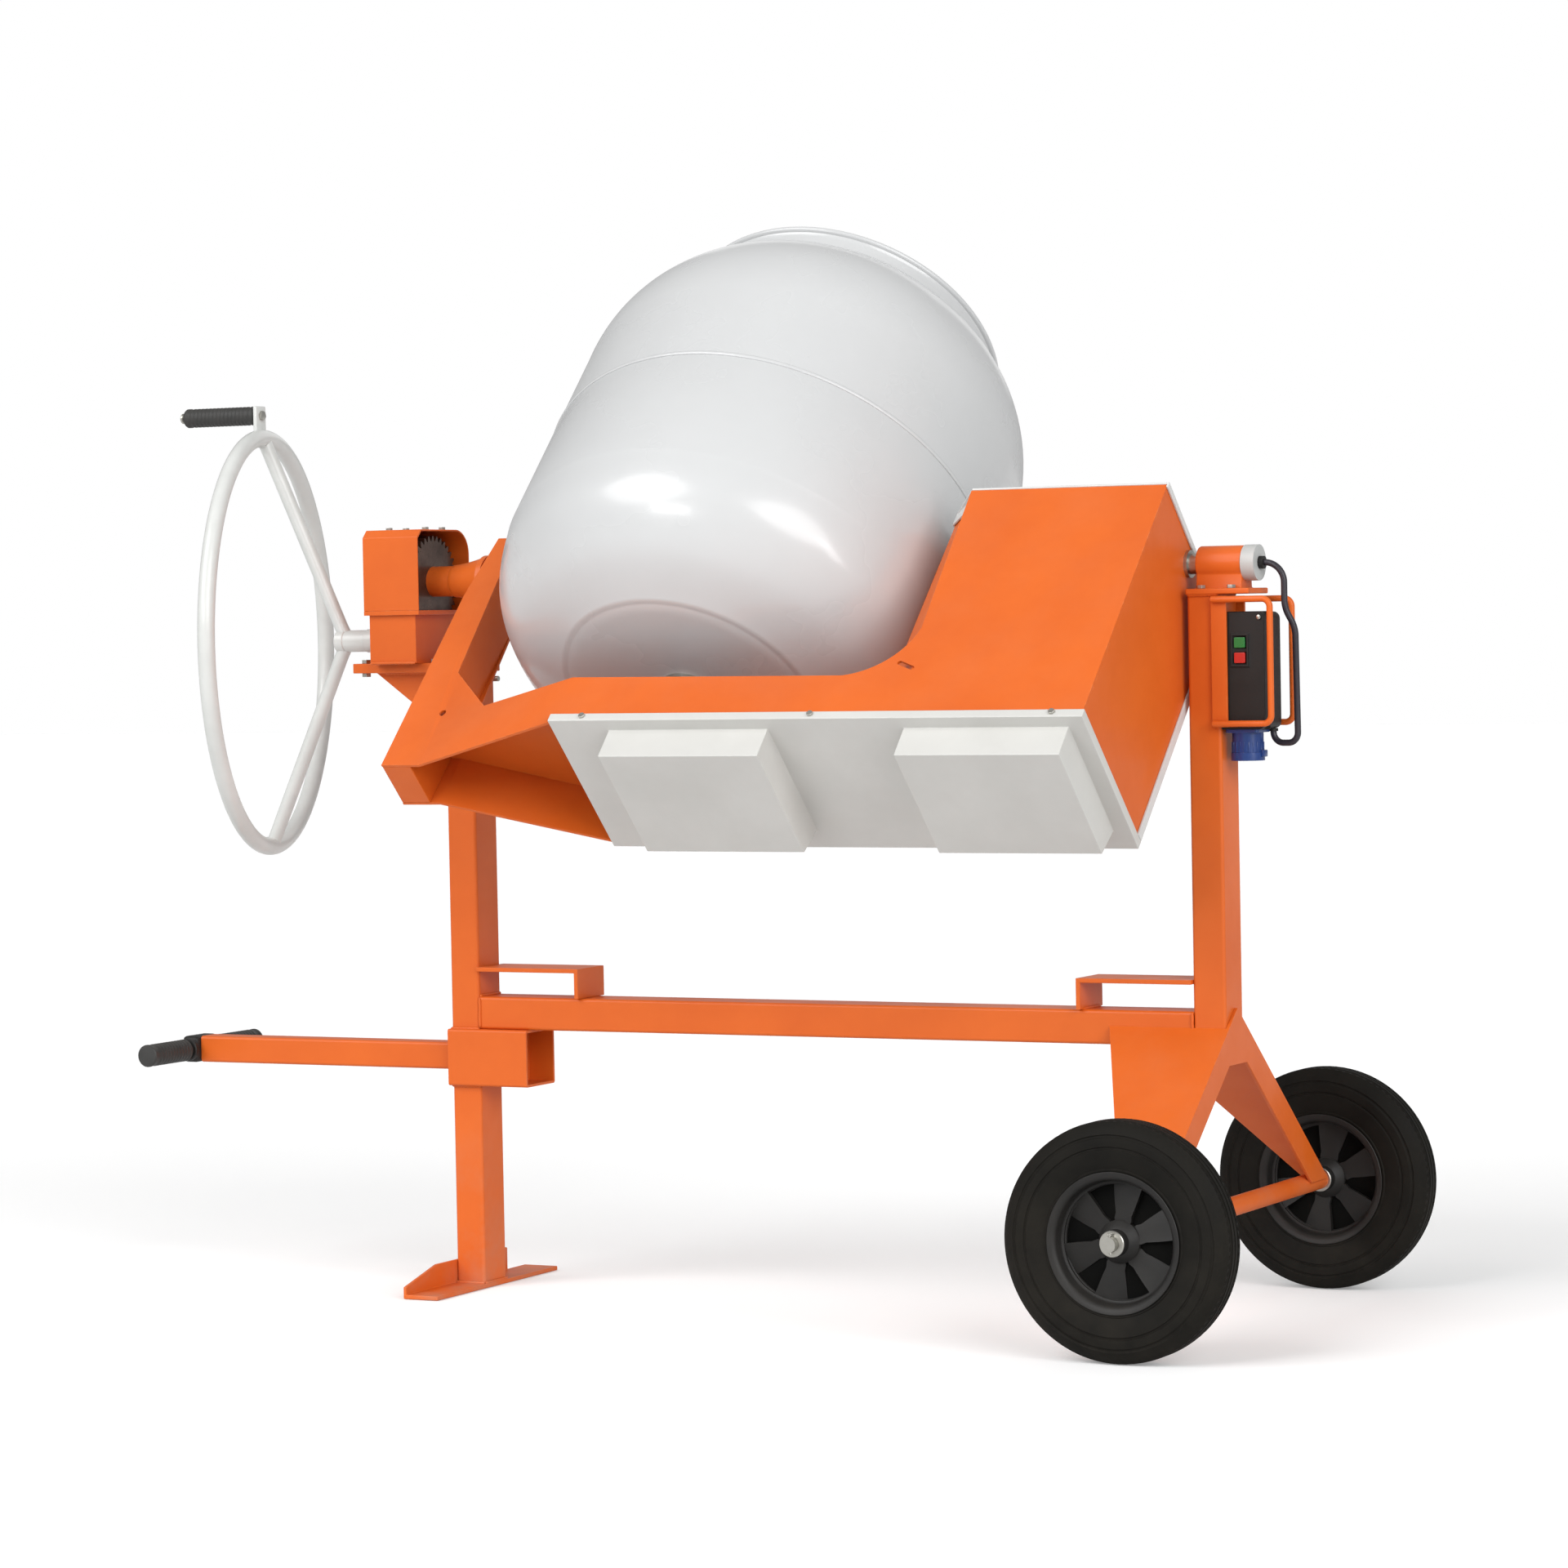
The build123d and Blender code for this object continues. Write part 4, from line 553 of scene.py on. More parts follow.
def makeLamps():
    for name, lamp in lamps.items():
        data = bpy.data.lights.new(name, "AREA")
        data.shape = "RECTANGLE"
        data.size, data.size_y = lamp["size"]
        data.energy = lamp["watts"]
        light = newObject(name, data)
        light.location = lamp["place"]
        aim = Vector(lamp["aim"]) - light.location
        light.rotation_euler = aim.to_track_quat("-Z", "Y").to_euler()
    for place, strength in daylight["suns"]:
        data = bpy.data.lights.new("softSun", "SUN")
        data.energy = strength
        data.angle = daylight["spread"]
        light = newObject("softSun", data)
        light.rotation_euler = (-Vector(place)).to_track_quat("-Z", "Y").to_euler()
    world = bpy.data.worlds.new("softRoom")
    bpy.context.scene.world = world
    world.use_nodes = True
    tree = world.node_tree
    room = tree.nodes["Background"]
    room.inputs[0].default_value = (1.0, 1.0, 1.0, 1)
    path = addNode(tree, "ShaderNodeLightPath")
    seen = mathNode(tree, "MULTIPLY", path.outputs["Is Camera Ray"], daylight["backdrop"] - daylight["room"])
    wire(tree, mathNode(tree, "ADD", seen, daylight["room"]), room.inputs[1])


floorLook = {"half": 40.0, "drop": 0.0008, "colour": (0.80, 0.80, 0.80), "rough": 0.9, "glow": 0.24}


def makeFloor():
    shape = bmesh.new()
    half = floorLook["half"]
    square = ((-half, -half), (half, -half), (half, half), (-half, half))
    shape.faces.new([shape.verts.new((x, y, -floorLook["drop"])) for x, y in square])
    floor = newObject("floor", meshFrom(shape, "floor"))
    material = bpy.data.materials.new("paleFloor")
    material.use_nodes = True
    tree = material.node_tree
    shader = tree.nodes["Principled BSDF"]
    shader.inputs["Base Color"].default_value = (*floorLook["colour"], 1)
    shader.inputs["Roughness"].default_value = floorLook["rough"]
    shader.inputs["Specular IOR Level"].default_value = 0.0
    shader.inputs["Emission Color"].default_value = (1, 1, 1, 1)
    path = addNode(tree, "ShaderNodeLightPath")
    glow = mathNode(tree, "MULTIPLY", path.outputs["Is Camera Ray"], floorLook["glow"])
    wire(tree, glow, shader.inputs["Emission Strength"])
    floor.data.materials.append(material)


makeCamera()
makeLamps()
makeFloor()
bpy.context.scene.view_settings.view_transform = "Standard"
print("camera, lamps and floor ready")


# finishes on the plain CAD pieces
cadFinish = {
    "zincSteel": (
        "axle_shaft", "right_trunnion", "large_pulley", "motor_pulley", "drum_shaft", "pinion_shaft",
    ),
    "greasedSteel": ("tilt_gear", "layshaft", "drum_gear"),
    "bushBronze": ("bushes",),
    "motorEnamel": ("motor", "case_bearings"),
    "gripRubber": ("drive_belt",),
    "blackPlastic": ("lead_glands",),
    "cableSheath": ("motor_lead",),
    "capPlastic": ("bearing_cap",),
    "orangePaint": ("axle_tube", "switch_guards", "left_trunnion", "case_sheets"),
}
for look, names in cadFinish.items():
    for name in names:
        for cadSlot in cadNodes[name].material_slots:
            cadSlot.material = finish[look]


# plates and tubes with rounded arrises
softened = (
    # body, finish, slot, arris radius of each node
    ("chassis", "orangePaint", "orange_paint", {
        "foot_plate": 0.0015, "lower_leg": 0.0010, "left_post": 0.0010, "right_post": 0.0010,
        "base_beam": 0.0010, "fork_straps": 0.0012, "drawbar_sleeve": 0.0010, "axle_frame": 0.0012,
        "gear_base": 0.0015, "gear_housing": 0.0015, "gear_cover": 0.0010, "right_bearing": 0.0020,
        "switch_brackets": 0.0010,
    }),
    ("tow_bar", "orangePaint", "orange_paint", {"drawbar": 0.0010}),
    ("clamp", "zincSteel", "zinc_steel", {"clamp_screw": 0.0010}),
    ("cradle", "orangePaint", "orange_paint", {
        "left_arm": 0.0020, "front_plate": 0.0016, "rear_plate": 0.0016, "motor_box_walls": 0.0012,
    }),
    ("cradle", "coverGrey", "cover_paint", {"drive_cover": 0.0015}),
    ("cradle", "lidWhite", "lid_paint", {"motor_box_cover": 0.0012}),
    ("chassis", "zincSteel", "zinc_steel", {"housing_bolts": 0.0006}),
    ("cradle", "zincSteel", "zinc_steel", {"cover_screws": 0.0005}),
    ("start_key", "buttonGreen", "green_button", {"start_button": 0.0010}),
    ("stop_key", "buttonRed", "red_button", {"stop_button": 0.0010}),
    ("chassis", "blackPlastic", "black_plastic", {"switch_box": 0.0020}),
    ("chassis", "inletBlue", "blue_plastic", {"power_inlet": 0.0010}),
)
for body, look, slotName, nodes in softened:
    for node, arris in nodes.items():
        finishPiece(node + "_piece", softenedCopy(node, arris), body, look, (node,), plate=True)
print("plates and tubes ready")


# drum
drum = {
    "x": 0.578, "radius": 0.418, "wall": 0.004,
    "floorAt": -0.302, "floorRadius": 0.237, "kneeAt": -0.106,
    "seamAt": 0.130, "shoulderAt": 0.300, "mouthAt": 0.560, "mouthTop": 0.598, "mouthRadius": 0.288,
    # from the floor's edge outwards, and from the full radius inwards, each with its place on the axis
    "bellyOut": (0.096, -0.262), "sideIn": (0.020, -0.190),
    "bellyOutInside": (0.094, -0.258), "sideInInside": (0.024, -0.187),
    "shoulderMid": (0.389, 0.446), "shoulderMidInside": (0.385, 0.444),
    "steps": 144,
}


def smoothLine(points, perSpan):
    # points threaded by a gentle curve through them all
    out = []
    count = len(points)
    for i in range(count - 1):
        near = (min(max(j, 0), count - 1) for j in range(i - 1, i + 3))
        p0, p1, p2, p3 = (Vector(points[j]) for j in near)
        for k in range(perSpan):
            t = k / perSpan
            out.append(tuple(
                0.5 * ((2 * p1) + (p2 - p0) * t + (2 * p0 - 5 * p1 + 4 * p2 - p3) * t * t
                       + (3 * p1 - p0 - 3 * p2 + p3) * t ** 3)
            ))
    out.append(tuple(points[-1]))
    return out


def arcThrough(a, b, c, steps):
    # circular arc from a through b to c, in the profile's plane
    ax, ay = a
    bx, by = b
    cx, cy = c
    d = 2 * (ax * (by - cy) + bx * (cy - ay) + cx * (ay - by))
    aa, bb, cc = ax * ax + ay * ay, bx * bx + by * by, cx * cx + cy * cy
    ux = (aa * (by - cy) + bb * (cy - ay) + cc * (ay - by)) / d
    uy = (aa * (cx - bx) + bb * (ax - cx) + cc * (bx - ax)) / d
    r = math.hypot(ax - ux, ay - uy)
    start = math.atan2(ay - uy, ax - ux)
    end = math.atan2(cy - uy, cx - ux)
    angles = [start + (end - start) * k / steps for k in range(steps + 1)]
    return [(ux + r * math.cos(angle), uy + r * math.sin(angle)) for angle in angles]


def drumPiece(name, profile, node):
    shape = bmesh.new()
    revolveInto(shape, profile, pivot + rightWay * drum["x"], axisDir, rightWay, drum["steps"])
    finishPiece(name, shape, "drum", "drumPaint", (node,))


def buildDrum():
    outer, wall = drum["radius"], drum["wall"]
    inner = outer - wall
    floorAt, floorR, knee, seam = drum["floorAt"], drum["floorRadius"], drum["kneeAt"], drum["seamAt"]
    (belly, bellyAt), (side, sideAt) = drum["bellyOut"], drum["sideIn"]
    curve = smoothLine(
        [(floorR, floorAt), (floorR + belly, bellyAt), (outer - side, sideAt), (outer, knee)], 9,
    )
    (belly, bellyAt), (side, sideAt) = drum["bellyOutInside"], drum["sideInInside"]
    back = [(inner, knee), (outer - side, sideAt), (floorR + belly, bellyAt), (floorR - wall, floorAt + wall)]
    back = smoothLine(back, 9)
    low = [(0, floorAt - 0.002)]
    low += [
        (floorR - inward, floorAt + up)
        for inward, up in ((0.030, -0.002), (0.010, -0.0005), (0.005, 0.0012))
    ]
    low += curve + [(outer, knee + 0.08), (outer, seam - 0.004), (outer - 0.001, seam)]
    low += [(inner, seam), (inner, knee + 0.08)]
    low += back + [(0, floorAt + wall)]
    drumPiece("drum_lower_shell", low, "drum_lower")
    shoulder, mouthAt, mouthR = drum["shoulderAt"], drum["mouthAt"], drum["mouthRadius"]
    out = arcThrough((outer, shoulder), drum["shoulderMid"], (mouthR + wall, mouthAt), 26)
    inn = arcThrough((mouthR, mouthAt), drum["shoulderMidInside"], (inner, shoulder), 26)
    beadPoints = (
        (0, 0.0085), (0.0006, 0.0078), (0.0016, 0.0060), (0.0019, 0.003), (0.0015, 0.0010), (0.0004, 0),
    )
    bead = [(outer + proud, seam + up) for proud, up in beadPoints]
    high = [(inner, seam)] + bead[::-1] + out + inn
    drumPiece("drum_upper_shell", high, "drum_upper")
    band = mouthR + wall + 0.004
    top = drum["mouthTop"]
    rim = [(mouthR, mouthAt), (band - 0.002, mouthAt), (band, mouthAt + 0.002), (band, top - 0.016)]
    rim += [
        (band + 0.0045 - 0.0045 * math.cos(a), top - 0.0125 + 0.004 * math.sin(a) - 0.0035 * math.cos(a))
        for a in (0, 0.5, 1.0)
    ]
    rollR = 0.0058
    rim += [
        (mouthR + 0.0105 + 0.0062 * math.cos(a), top - rollR + rollR * math.sin(a))
        for a in (math.pi * (k / 10) - 0.9 for k in range(12))
    ]
    rim += [(mouthR + 0.001, top - 0.006), (mouthR, top - 0.010)]
    drumPiece("mouth_band", rim, "mouth_rim")
    shape = softenedCopy("mixing_blades", 0.0015)
    finishPiece("mixing_blades_piece", shape, "drum", "drumInside", ("mixing_blades",))


buildDrum()
print("drum ready")


# road wheels
wheel = {
    "radius": 0.200, "width": 0.080, "seat": 0.112, "hubRadius": 0.027, "hubLength": 0.074,
    "vanes": 6, "vaneTurn": math.radians(-10), "vaneHalf": 0.0070, "vanePitch": 0.0055, "bore": 0.0127,
    "grooveAt": 0.0125, "grooveMouth": 0.0022, "grooveBed": 0.0014, "grooveDepth": 0.0040,
    "treadFrom": 0.180, "treadEdge": 0.016, "treadCut": 0.0032, "treadBlocks": 90, "treadSlant": 60,
    "cutShare": 0.26, "steps": 180,
}


def tyreProfile():
    half = wheel["width"] / 2
    seat, r = wheel["seat"], wheel["radius"]
    # first (past the rim's seat, out from the middle plane), then (past the seat, in from the flank)
    bead = (
        (0, 0.0300), (0.002, 0.0325), (0.0065, 0.0350), (0.009, 0.0352), (0.0105, 0.0336), (0.014, 0.0345),
        (0.022, 0.0368),
    )
    flank = (
        (0.030, 0.0018), (0.0385, 0.0004), (0.0415, 0.0001), (0.043, 0.0020), (0.0455, 0.0022),
        (0.047, 0.0002), (0.053, 0), (0.0600, 0.0008), (0.0625, 0.0032), (0.0650, 0.0036),
        (0.0668, 0.0020), (0.0740, 0.0052), (0.0795, 0.0090),
    )
    side = [(seat + past, out) for past, out in bead]
    side += [(seat + past, half - inward) for past, inward in flank]
    side += [
        (r - down, half - inward)
        for down, inward in ((0.0040, 0.0122), (0.0012, 0.0160), (0.0004, 0.0200))
    ]
    groove, mouth = wheel["grooveAt"], wheel["grooveMouth"]
    bed, deep = wheel["grooveBed"], wheel["grooveDepth"]
    side += [(r, groove + mouth), (r - deep, groove + bed), (r - deep, groove - bed), (r, groove - mouth)]
    side += [(r, mouth), (r - deep, bed)]  # half of the middle groove
    return side + [(a, -b) for a, b in reversed(side)]


def wheelCentre(sign):
    return Vector((stand["axleX"], sign * stand["wheelTrack"] / 2, stand["axleHeight"]))


def buildTyre(sign, name):
    centre = wheelCentre(sign)
    shape = bmesh.new()
    revolveInto(shape, tyreProfile(), centre, backWay, rightWay, wheel["steps"])
    for vert in shape.verts:
        local = vert.co - centre
        r = math.hypot(local.x, local.z)
        if r > wheel["treadFrom"] and abs(local.y) > wheel["treadEdge"]:
            # slanted tread cuts at the shoulders
            place = math.atan2(local.z, local.x) * (wheel["treadBlocks"] / 2) / math.pi
            place += abs(local.y) * wheel["treadSlant"]
            if place % 1.0 < wheel["cutShare"]:
                keep = 1 - wheel["treadCut"] / r
                vert.co = centre + Vector((local.x * keep, local.y, local.z * keep))
    tyre = "tyre_" + name
    finishPiece(tyre + "_piece", shape, "wheel_" + name, "tyreRubber", (tyre,), 30)


def buildRim(sign, name):
    centre = wheelCentre(sign)
    axis, out = backWay, rightWay
    seat = wheel["seat"]
    hub, half = wheel["hubRadius"], wheel["hubLength"] / 2
    shape = bmesh.new()
    lip = (
        (-0.0005, 0.008), (-0.0005, 0.031), (0.0055, 0.0372), (0.0045, 0.038), (-0.002, 0.0372),
        (-0.0070, 0.0330), (-0.0090, 0.0290), (-0.0105, 0.0160), (-0.0120, 0.0135), (-0.0150, 0.0120),
        (-0.0150, 0.008),
    )
    for face in (-1, 1):
        revolveInto(shape, [(seat + past, face * along) for past, along in lip], centre, axis, out, 120)
    bed = (
        (0.0005, -0.008), (0.0005, 0.008), (0.0150, 0.008), (0.0170, 0.006), (0.0170, -0.006),
        (0.0150, -0.008),
    )
    web = [(seat - inward, along) for inward, along in bed]
    revolveInto(shape, web, centre, axis, out, 120)
    below = [(wheel["bore"], -half), (hub - 0.006, -half), (hub - 0.005, -half + 0.001)]
    below += [(hub - 0.0045, -half + 0.016), (hub, -half + 0.019), (hub + 0.009, -0.0085)]
    barrel = below + [(past, -along) for past, along in reversed(below)]
    revolveInto(shape, barrel, centre, axis, out, 72)
    # pitched vanes between the openings
    inner, outer = hub + 0.004, seat - 0.0125
    for k in range(wheel["vanes"]):
        middle = -wheel["vaneTurn"] + math.pi / wheel["vanes"] + k * 2 * math.pi / wheel["vanes"]
        rows = []
        for i in range(9):
            t = i / 8
            r = inner + (outer - inner) * t
            wide = math.radians(19.5 - 3.5 * t) if t > 0.15 else math.radians(24)
            pitch = wheel["vanePitch"] * (0.4 + 0.6 * t)
            row = []
            for s, lift in ((-1, -pitch), (-0.55, -pitch * 0.45), (0, 0), (0.55, pitch * 0.45), (1, pitch)):
                angle = middle + s * wide * sign
                spot = centre + Vector((math.cos(angle), 0, -math.sin(angle))) * r
                row.append((spot, lift))
            rows.append(row)
        thick = wheel["vaneHalf"]
        front = [[shape.verts.new(p + axis * (lift - thick)) for p, lift in row] for row in rows]
        rear = [[shape.verts.new(p + axis * (lift + thick)) for p, lift in row] for row in rows]
        for a, b in zip(range(8), range(1, 9)):
            for c in range(4):
                shape.faces.new((front[a][c], front[b][c], front[b][c + 1], front[a][c + 1]))
                shape.faces.new((rear[a][c], rear[a][c + 1], rear[b][c + 1], rear[b][c]))
            shape.faces.new((front[a][0], rear[a][0], rear[b][0], front[b][0]))
            shape.faces.new((front[a][4], front[b][4], rear[b][4], rear[a][4]))
        for row in (0, 8):
            for c in range(4):
                shape.faces.new((front[row][c], front[row][c + 1], rear[row][c + 1], rear[row][c]))
    # near-black disc behind the vanes, painted shade: it closes the rim's openings with the dark of the shade
    # seen through them
    back = bmesh.new()
    disc = [(hub + 0.006, -0.0015), (seat - 0.0160, -0.0015), (seat - 0.0160, 0.0015), (hub + 0.006, 0.0015)]
    revolveInto(back, disc, centre, axis, out, 96)
    finishPiece("rim_opening_shade_" + name, back, "wheel_" + name, "rimOpeningShade")
    rim = "rim_" + name
    finishPiece(rim + "_piece", shape, "wheel_" + name, "blackPlastic", (rim,), 34)


keeper = {"gap": 0.0004, "inner": 0.0129, "outer": 0.022, "thick": 0.004, "pinOut": 0.011, "pinWire": 0.0017}


def buildRetainers():
    shape = bmesh.new()
    half = wheel["hubLength"] / 2
    for sign in (-1, 1):
        middle = wheelCentre(sign)
        for near in (-half - keeper["gap"] - keeper["thick"], half + keeper["gap"]):
            at = middle + backWay * near
            washerInto(shape, at, backWay, keeper["inner"], keeper["outer"], keeper["thick"])
        eye = middle + Vector((0, sign * (half + keeper["pinOut"]), 0.0125))
        legs = [eye + Vector((x, 0, z)) for x, z in ((0, 0.004), (0, -0.010), (0, -0.026), (0.0015, -0.0285))]
        tubeInto(shape, legs, keeper["pinWire"], 10)
        loop = [eye + Vector((0.0032 * math.sin(a), 0, 0.0045 - 0.0030 * math.cos(a))) for a in turns(14)]
        tubeInto(shape, loop, 0.0012, 8, closed=True)
    finishPiece("wheel_retainers_piece", shape, "chassis", "zincSteel", ("wheel_retainers",))


for sign, name in ((-1, "front"), (1, "rear")):
    buildTyre(sign, name)
    buildRim(sign, name)
buildRetainers()
print("wheels ready")


# handwheel and its crank grip
handwheel = {
    "centreX": -0.439, "radius": 0.386, "tube": 0.016, "twist": math.radians(16.0),
    "hubX": -0.262, "spoke": 0.013, "gripRadius": 0.018, "gripLength": 0.156,
}


def ridges(radius, first, pitch, count, ridge):
    # moulded rings of a grip; ridge holds (down from the radius, along) of one ring
    return [(radius - down, first + k * pitch + along) for k in range(count) for down, along in ridge]


def buildHandwheel():
    hw = handwheel
    height = stand["pinionHeight"]
    centre = Vector((hw["centreX"], 0, height))
    across = Vector((-math.sin(hw["twist"]), math.cos(hw["twist"]), 0))
    shape = bmesh.new()
    ring = [centre + (across * math.cos(a) + upWay * math.sin(a)) * hw["radius"] for a in turns(144)]
    tubeInto(shape, ring, hw["tube"] - 0.00005, 24, closed=True)
    for sign in (-1, 1):
        low = Vector((hw["hubX"] - 0.014, 0, height + sign * 0.027))
        high = Vector((hw["centreX"], 0, height + sign * (hw["radius"] - 0.004)))
        first = Vector((hw["hubX"] - 0.006, 0, height + sign * 0.012))
        tubeInto(shape, [first, low, low.lerp(high, 0.5), high], hw["spoke"], 20)
        weld = [
            high + Vector((0.0135 * math.cos(a), 0.0135 * math.sin(a), -sign * 0.0115))
            for a in turns(20)
        ]
        tubeInto(shape, weld, [0.0022 * random.uniform(0.85, 1.15) for spot in weld], 8, closed=True)
    hub = [
        (0.0141, 0), (0.0200, 0), (0.0220, 0.002), (0.0220, 0.018), (0.0205, 0.0195), (0.0205, 0.064),
        (0.0220, 0.0655), (0.0220, 0.084), (0.0200, 0.086), (0.0141, 0.086),
    ]
    revolveInto(shape, hub, Vector((hw["hubX"] - 0.020, 0, height)), rightWay, backWay, 40)
    gripHeight = height + hw["radius"] + 0.043
    bracket = Vector((hw["centreX"] - 0.009, 0, height + hw["radius"] + 0.030))
    blockInto(shape, bracket, (0.008, 0.034, 0.062), None, 0.0025, 3)
    finishPiece("handwheel_piece", shape, "tilt_wheel", "tubeWhite", ("handwheel",))
    shape = bmesh.new()
    right = hw["centreX"] - 0.013
    end = right - hw["gripLength"]
    tubeInto(shape, [(end - 0.012, 0, gripHeight), (right + 0.001, 0, gripHeight)], 0.0058, 20)
    washerInto(shape, Vector((end - 0.0138, 0, gripHeight)), rightWay, 0.002, 0.0098, 0.0072)
    hexInto(shape, Vector((right + 0.0082, 0, gripHeight)), rightWay, 0.016, 0.006)
    finishPiece("crank_pin", shape, "tilt_wheel", "zincSteel")
    shape = bmesh.new()
    r, length = hw["gripRadius"], hw["gripLength"]
    profile = [(0.0061, 0.0)]
    profile += [(r - 0.004, 0.0), (r - 0.0015, 0.0008), (r, 0.003), (r, 0.010), (r - 0.0012, 0.0125)]
    profile += ridges(
        r, 0.0155, 0.0085, 15, ((0.0014, 0), (0.0003, 0.0022), (0.0003, 0.0052), (0.0014, 0.0072)),
    )
    profile += [
        (r - 0.0012, length - 0.0105), (r, length - 0.008), (r, length - 0.003),
        (r - 0.0015, length - 0.0008), (r - 0.004, length), (0.0061, length),
    ]
    revolveInto(shape, profile, Vector((right - 0.002 - length, 0, gripHeight)), rightWay, backWay, 48)
    finishPiece("crank_grip_piece", shape, "crank_grip", "gripRubber", ("handwheel_grip",))


buildHandwheel()
print("handwheel ready")


# tow handle
towHandle = {"x": -0.611, "height": 0.4275, "tube": 0.015, "half": 0.180, "grip": 0.021, "gripFrom": 0.060}


def buildTowHandle():
    th = towHandle
    shape = bmesh.new()
    tubeInto(
        shape, [(th["x"], -th["half"], th["height"]), (th["x"], th["half"], th["height"])],
        th["tube"] - 0.0001, 28,
    )
    blockInto(shape, Vector((th["x"] - 0.0030, 0, th["height"])), (0.0355, 0.074, 0.050), None, 0.0085, 4)
    for y in (-0.044, 0.044):
        ring = [
            (0.0150, -0.006), (0.0190, -0.006), (0.0208, -0.004), (0.0208, 0.004), (0.0190, 0.006),
            (0.0150, 0.006),
        ]
        revolveInto(shape, ring, Vector((th["x"], y, th["height"])), backWay, rightWay, 36)
    finishPiece("tow_handle_piece", shape, "tow_bar", "blackPlastic", ("tow_handle",))
    shape = bmesh.new()
    r = th["grip"]
    length = th["half"] - th["gripFrom"] + 0.006
    for sign in (-1, 1):
        profile = [(th["tube"], 0), (r - 0.002, 0), (r, 0.002), (r, 0.007), (r - 0.0015, 0.009)]
        profile += ridges(
            r, 0.012, 0.0095, 10, ((0.0016, 0), (0.0002, 0.0025), (0.0002, 0.0060), (0.0016, 0.0082)),
        )
        profile += [
            (r - 0.0012, length - 0.010), (r, length - 0.007), (r, length - 0.003),
            (r - 0.002, length - 0.0005), (r - 0.006, length), (0, length), (0, length - 0.005),
            (th["tube"], length - 0.006),
        ]
        revolveInto(
            shape, profile, Vector((th["x"], sign * th["gripFrom"], th["height"])), backWay * sign, rightWay,
            44,
        )
    finishPiece("tow_grips_piece", shape, "tow_bar", "gripRubber", ("tow_grips",))


buildTowHandle()
print("tow handle ready")


# switch box and inlet trim
switchTrim = {
    "lidDepth": 0.022, "seamProud": 0.0009, "seamWidth": 0.0022, "screwInset": 0.009, "screwRadius": 0.0042,
    "frameMargin": 0.0060, "frameWall": 0.0032, "frameProud": 0.0022,
}
inletTrim = {"ribs": 22, "collarHeight": 0.0060, "earWidth": 0.018}


def corners(node):
    low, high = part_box(node)
    return Vector(low), Vector(high)


def rectRing(shape, low, high, wall, fromY, toY):
    # picture-frame ring in the XZ plane with its outer edges rounded
    x0, x1, z0, z1 = low.x, high.x, low.z, high.z
    middle = (fromY + toY) / 2
    thick = abs(toY - fromY)
    bevel = min(thick, wall) * 0.3
    for z in (z0 + wall / 2, z1 - wall / 2):
        blockInto(shape, Vector(((x0 + x1) / 2, middle, z)), (x1 - x0, thick, wall), None, bevel)
    for x in (x0 + wall / 2, x1 - wall / 2):
        blockInto(
            shape, Vector((x, middle, (z0 + z1) / 2)), (wall, thick, z1 - z0 - 2 * wall + 0.0002), None,
            bevel,
        )


def buildSwitchTrim():
    st = switchTrim
    low, high = corners("switch_box")
    shape = bmesh.new()
    seamY = low.y + st["lidDepth"]
    proud = Vector((st["seamProud"], 0, st["seamProud"]))
    rectRing(shape, low - proud, high + proud, 0.0035, seamY, seamY + st["seamWidth"])
    startLow, startHigh = corners("start_button")
    stopLow = corners("stop_button")[0]
    margin = Vector((st["frameMargin"], 0, st["frameMargin"]))
    frameLow = Vector((startLow.x, 0, stopLow.z)) - margin
    frameHigh = Vector((startHigh.x, 0, startHigh.z)) + margin
    rectRing(shape, frameLow, frameHigh, st["frameWall"], low.y - st["frameProud"], low.y + 0.0005)
    finishPiece("switch_trim", shape, "chassis", "blackPlastic", (), 40, True)
    shape = bmesh.new()
    for x in (low.x + st["screwInset"], high.x - st["screwInset"]):
        for z in (low.z + st["screwInset"], high.z - st["screwInset"]):
            head = [
                (0, -0.0016), (st["screwRadius"] * 0.5, -0.0015), (st["screwRadius"] * 0.9, -0.0009),
                (st["screwRadius"], 0.0005), (0, 0.0005),
            ]
            revolveInto(shape, head, Vector((x, low.y, z)), backWay, rightWay, 20, False)
    finishPiece("switch_lid_screws", shape, "chassis", "zincSteel", (), 40)


def buildInletTrim():
    it = inletTrim
    low, high = corners("power_inlet")
    centre = Vector(((low.x + high.x) / 2, (low.y + high.y) / 2, 0))
    shape = bmesh.new()
    r = (high.x - low.x) / 2 - 0.0012
    foot = low.z + 0.0002
    collar = [
        (r - 0.004, 0.0), (r - 0.0008, 0.0), (r, 0.001), (r, it["collarHeight"] - 0.001),
        (r - 0.0008, it["collarHeight"]), (r - 0.004, it["collarHeight"]),
    ]
    revolveInto(shape, collar, centre + upWay * foot, upWay, rightWay, 56)
    for angle in turns(it["ribs"]):
        spot = centre + Vector((math.cos(angle), math.sin(angle), 0)) * (r - 0.0022) + upWay * (foot + 0.020)
        blockInto(shape, spot, (0.0030, 0.0022, 0.024), Matrix.Rotation(angle, 3, "Z"), 0.0007)
    # hinge of the sprung cap
    hinge = centre + Vector((r + 0.001, 0, foot + 0.012))
    blockInto(shape, hinge, (0.006, it["earWidth"], 0.012), None, 0.0016)
    finishPiece("inlet_trim", shape, "chassis", "inletBlue", (), 40)


buildSwitchTrim()
buildInletTrim()
print("switch box trim ready")


# cradle details: the pan between arm and case, and the flared collar of the idle trunnion
cradleTrim = {
    "panFrom": 0.1105, "panBend": 0.1290, "panTo": 0.4475, "panHalf": 0.0465, "panWide": 0.1525,
    "panLow": -0.4070, "panHigh": -0.4025,
    "collarFrom": -0.0260, "collarTo": 0.0475, "collarSmall": 0.0284, "collarLarge": 0.0440,
}


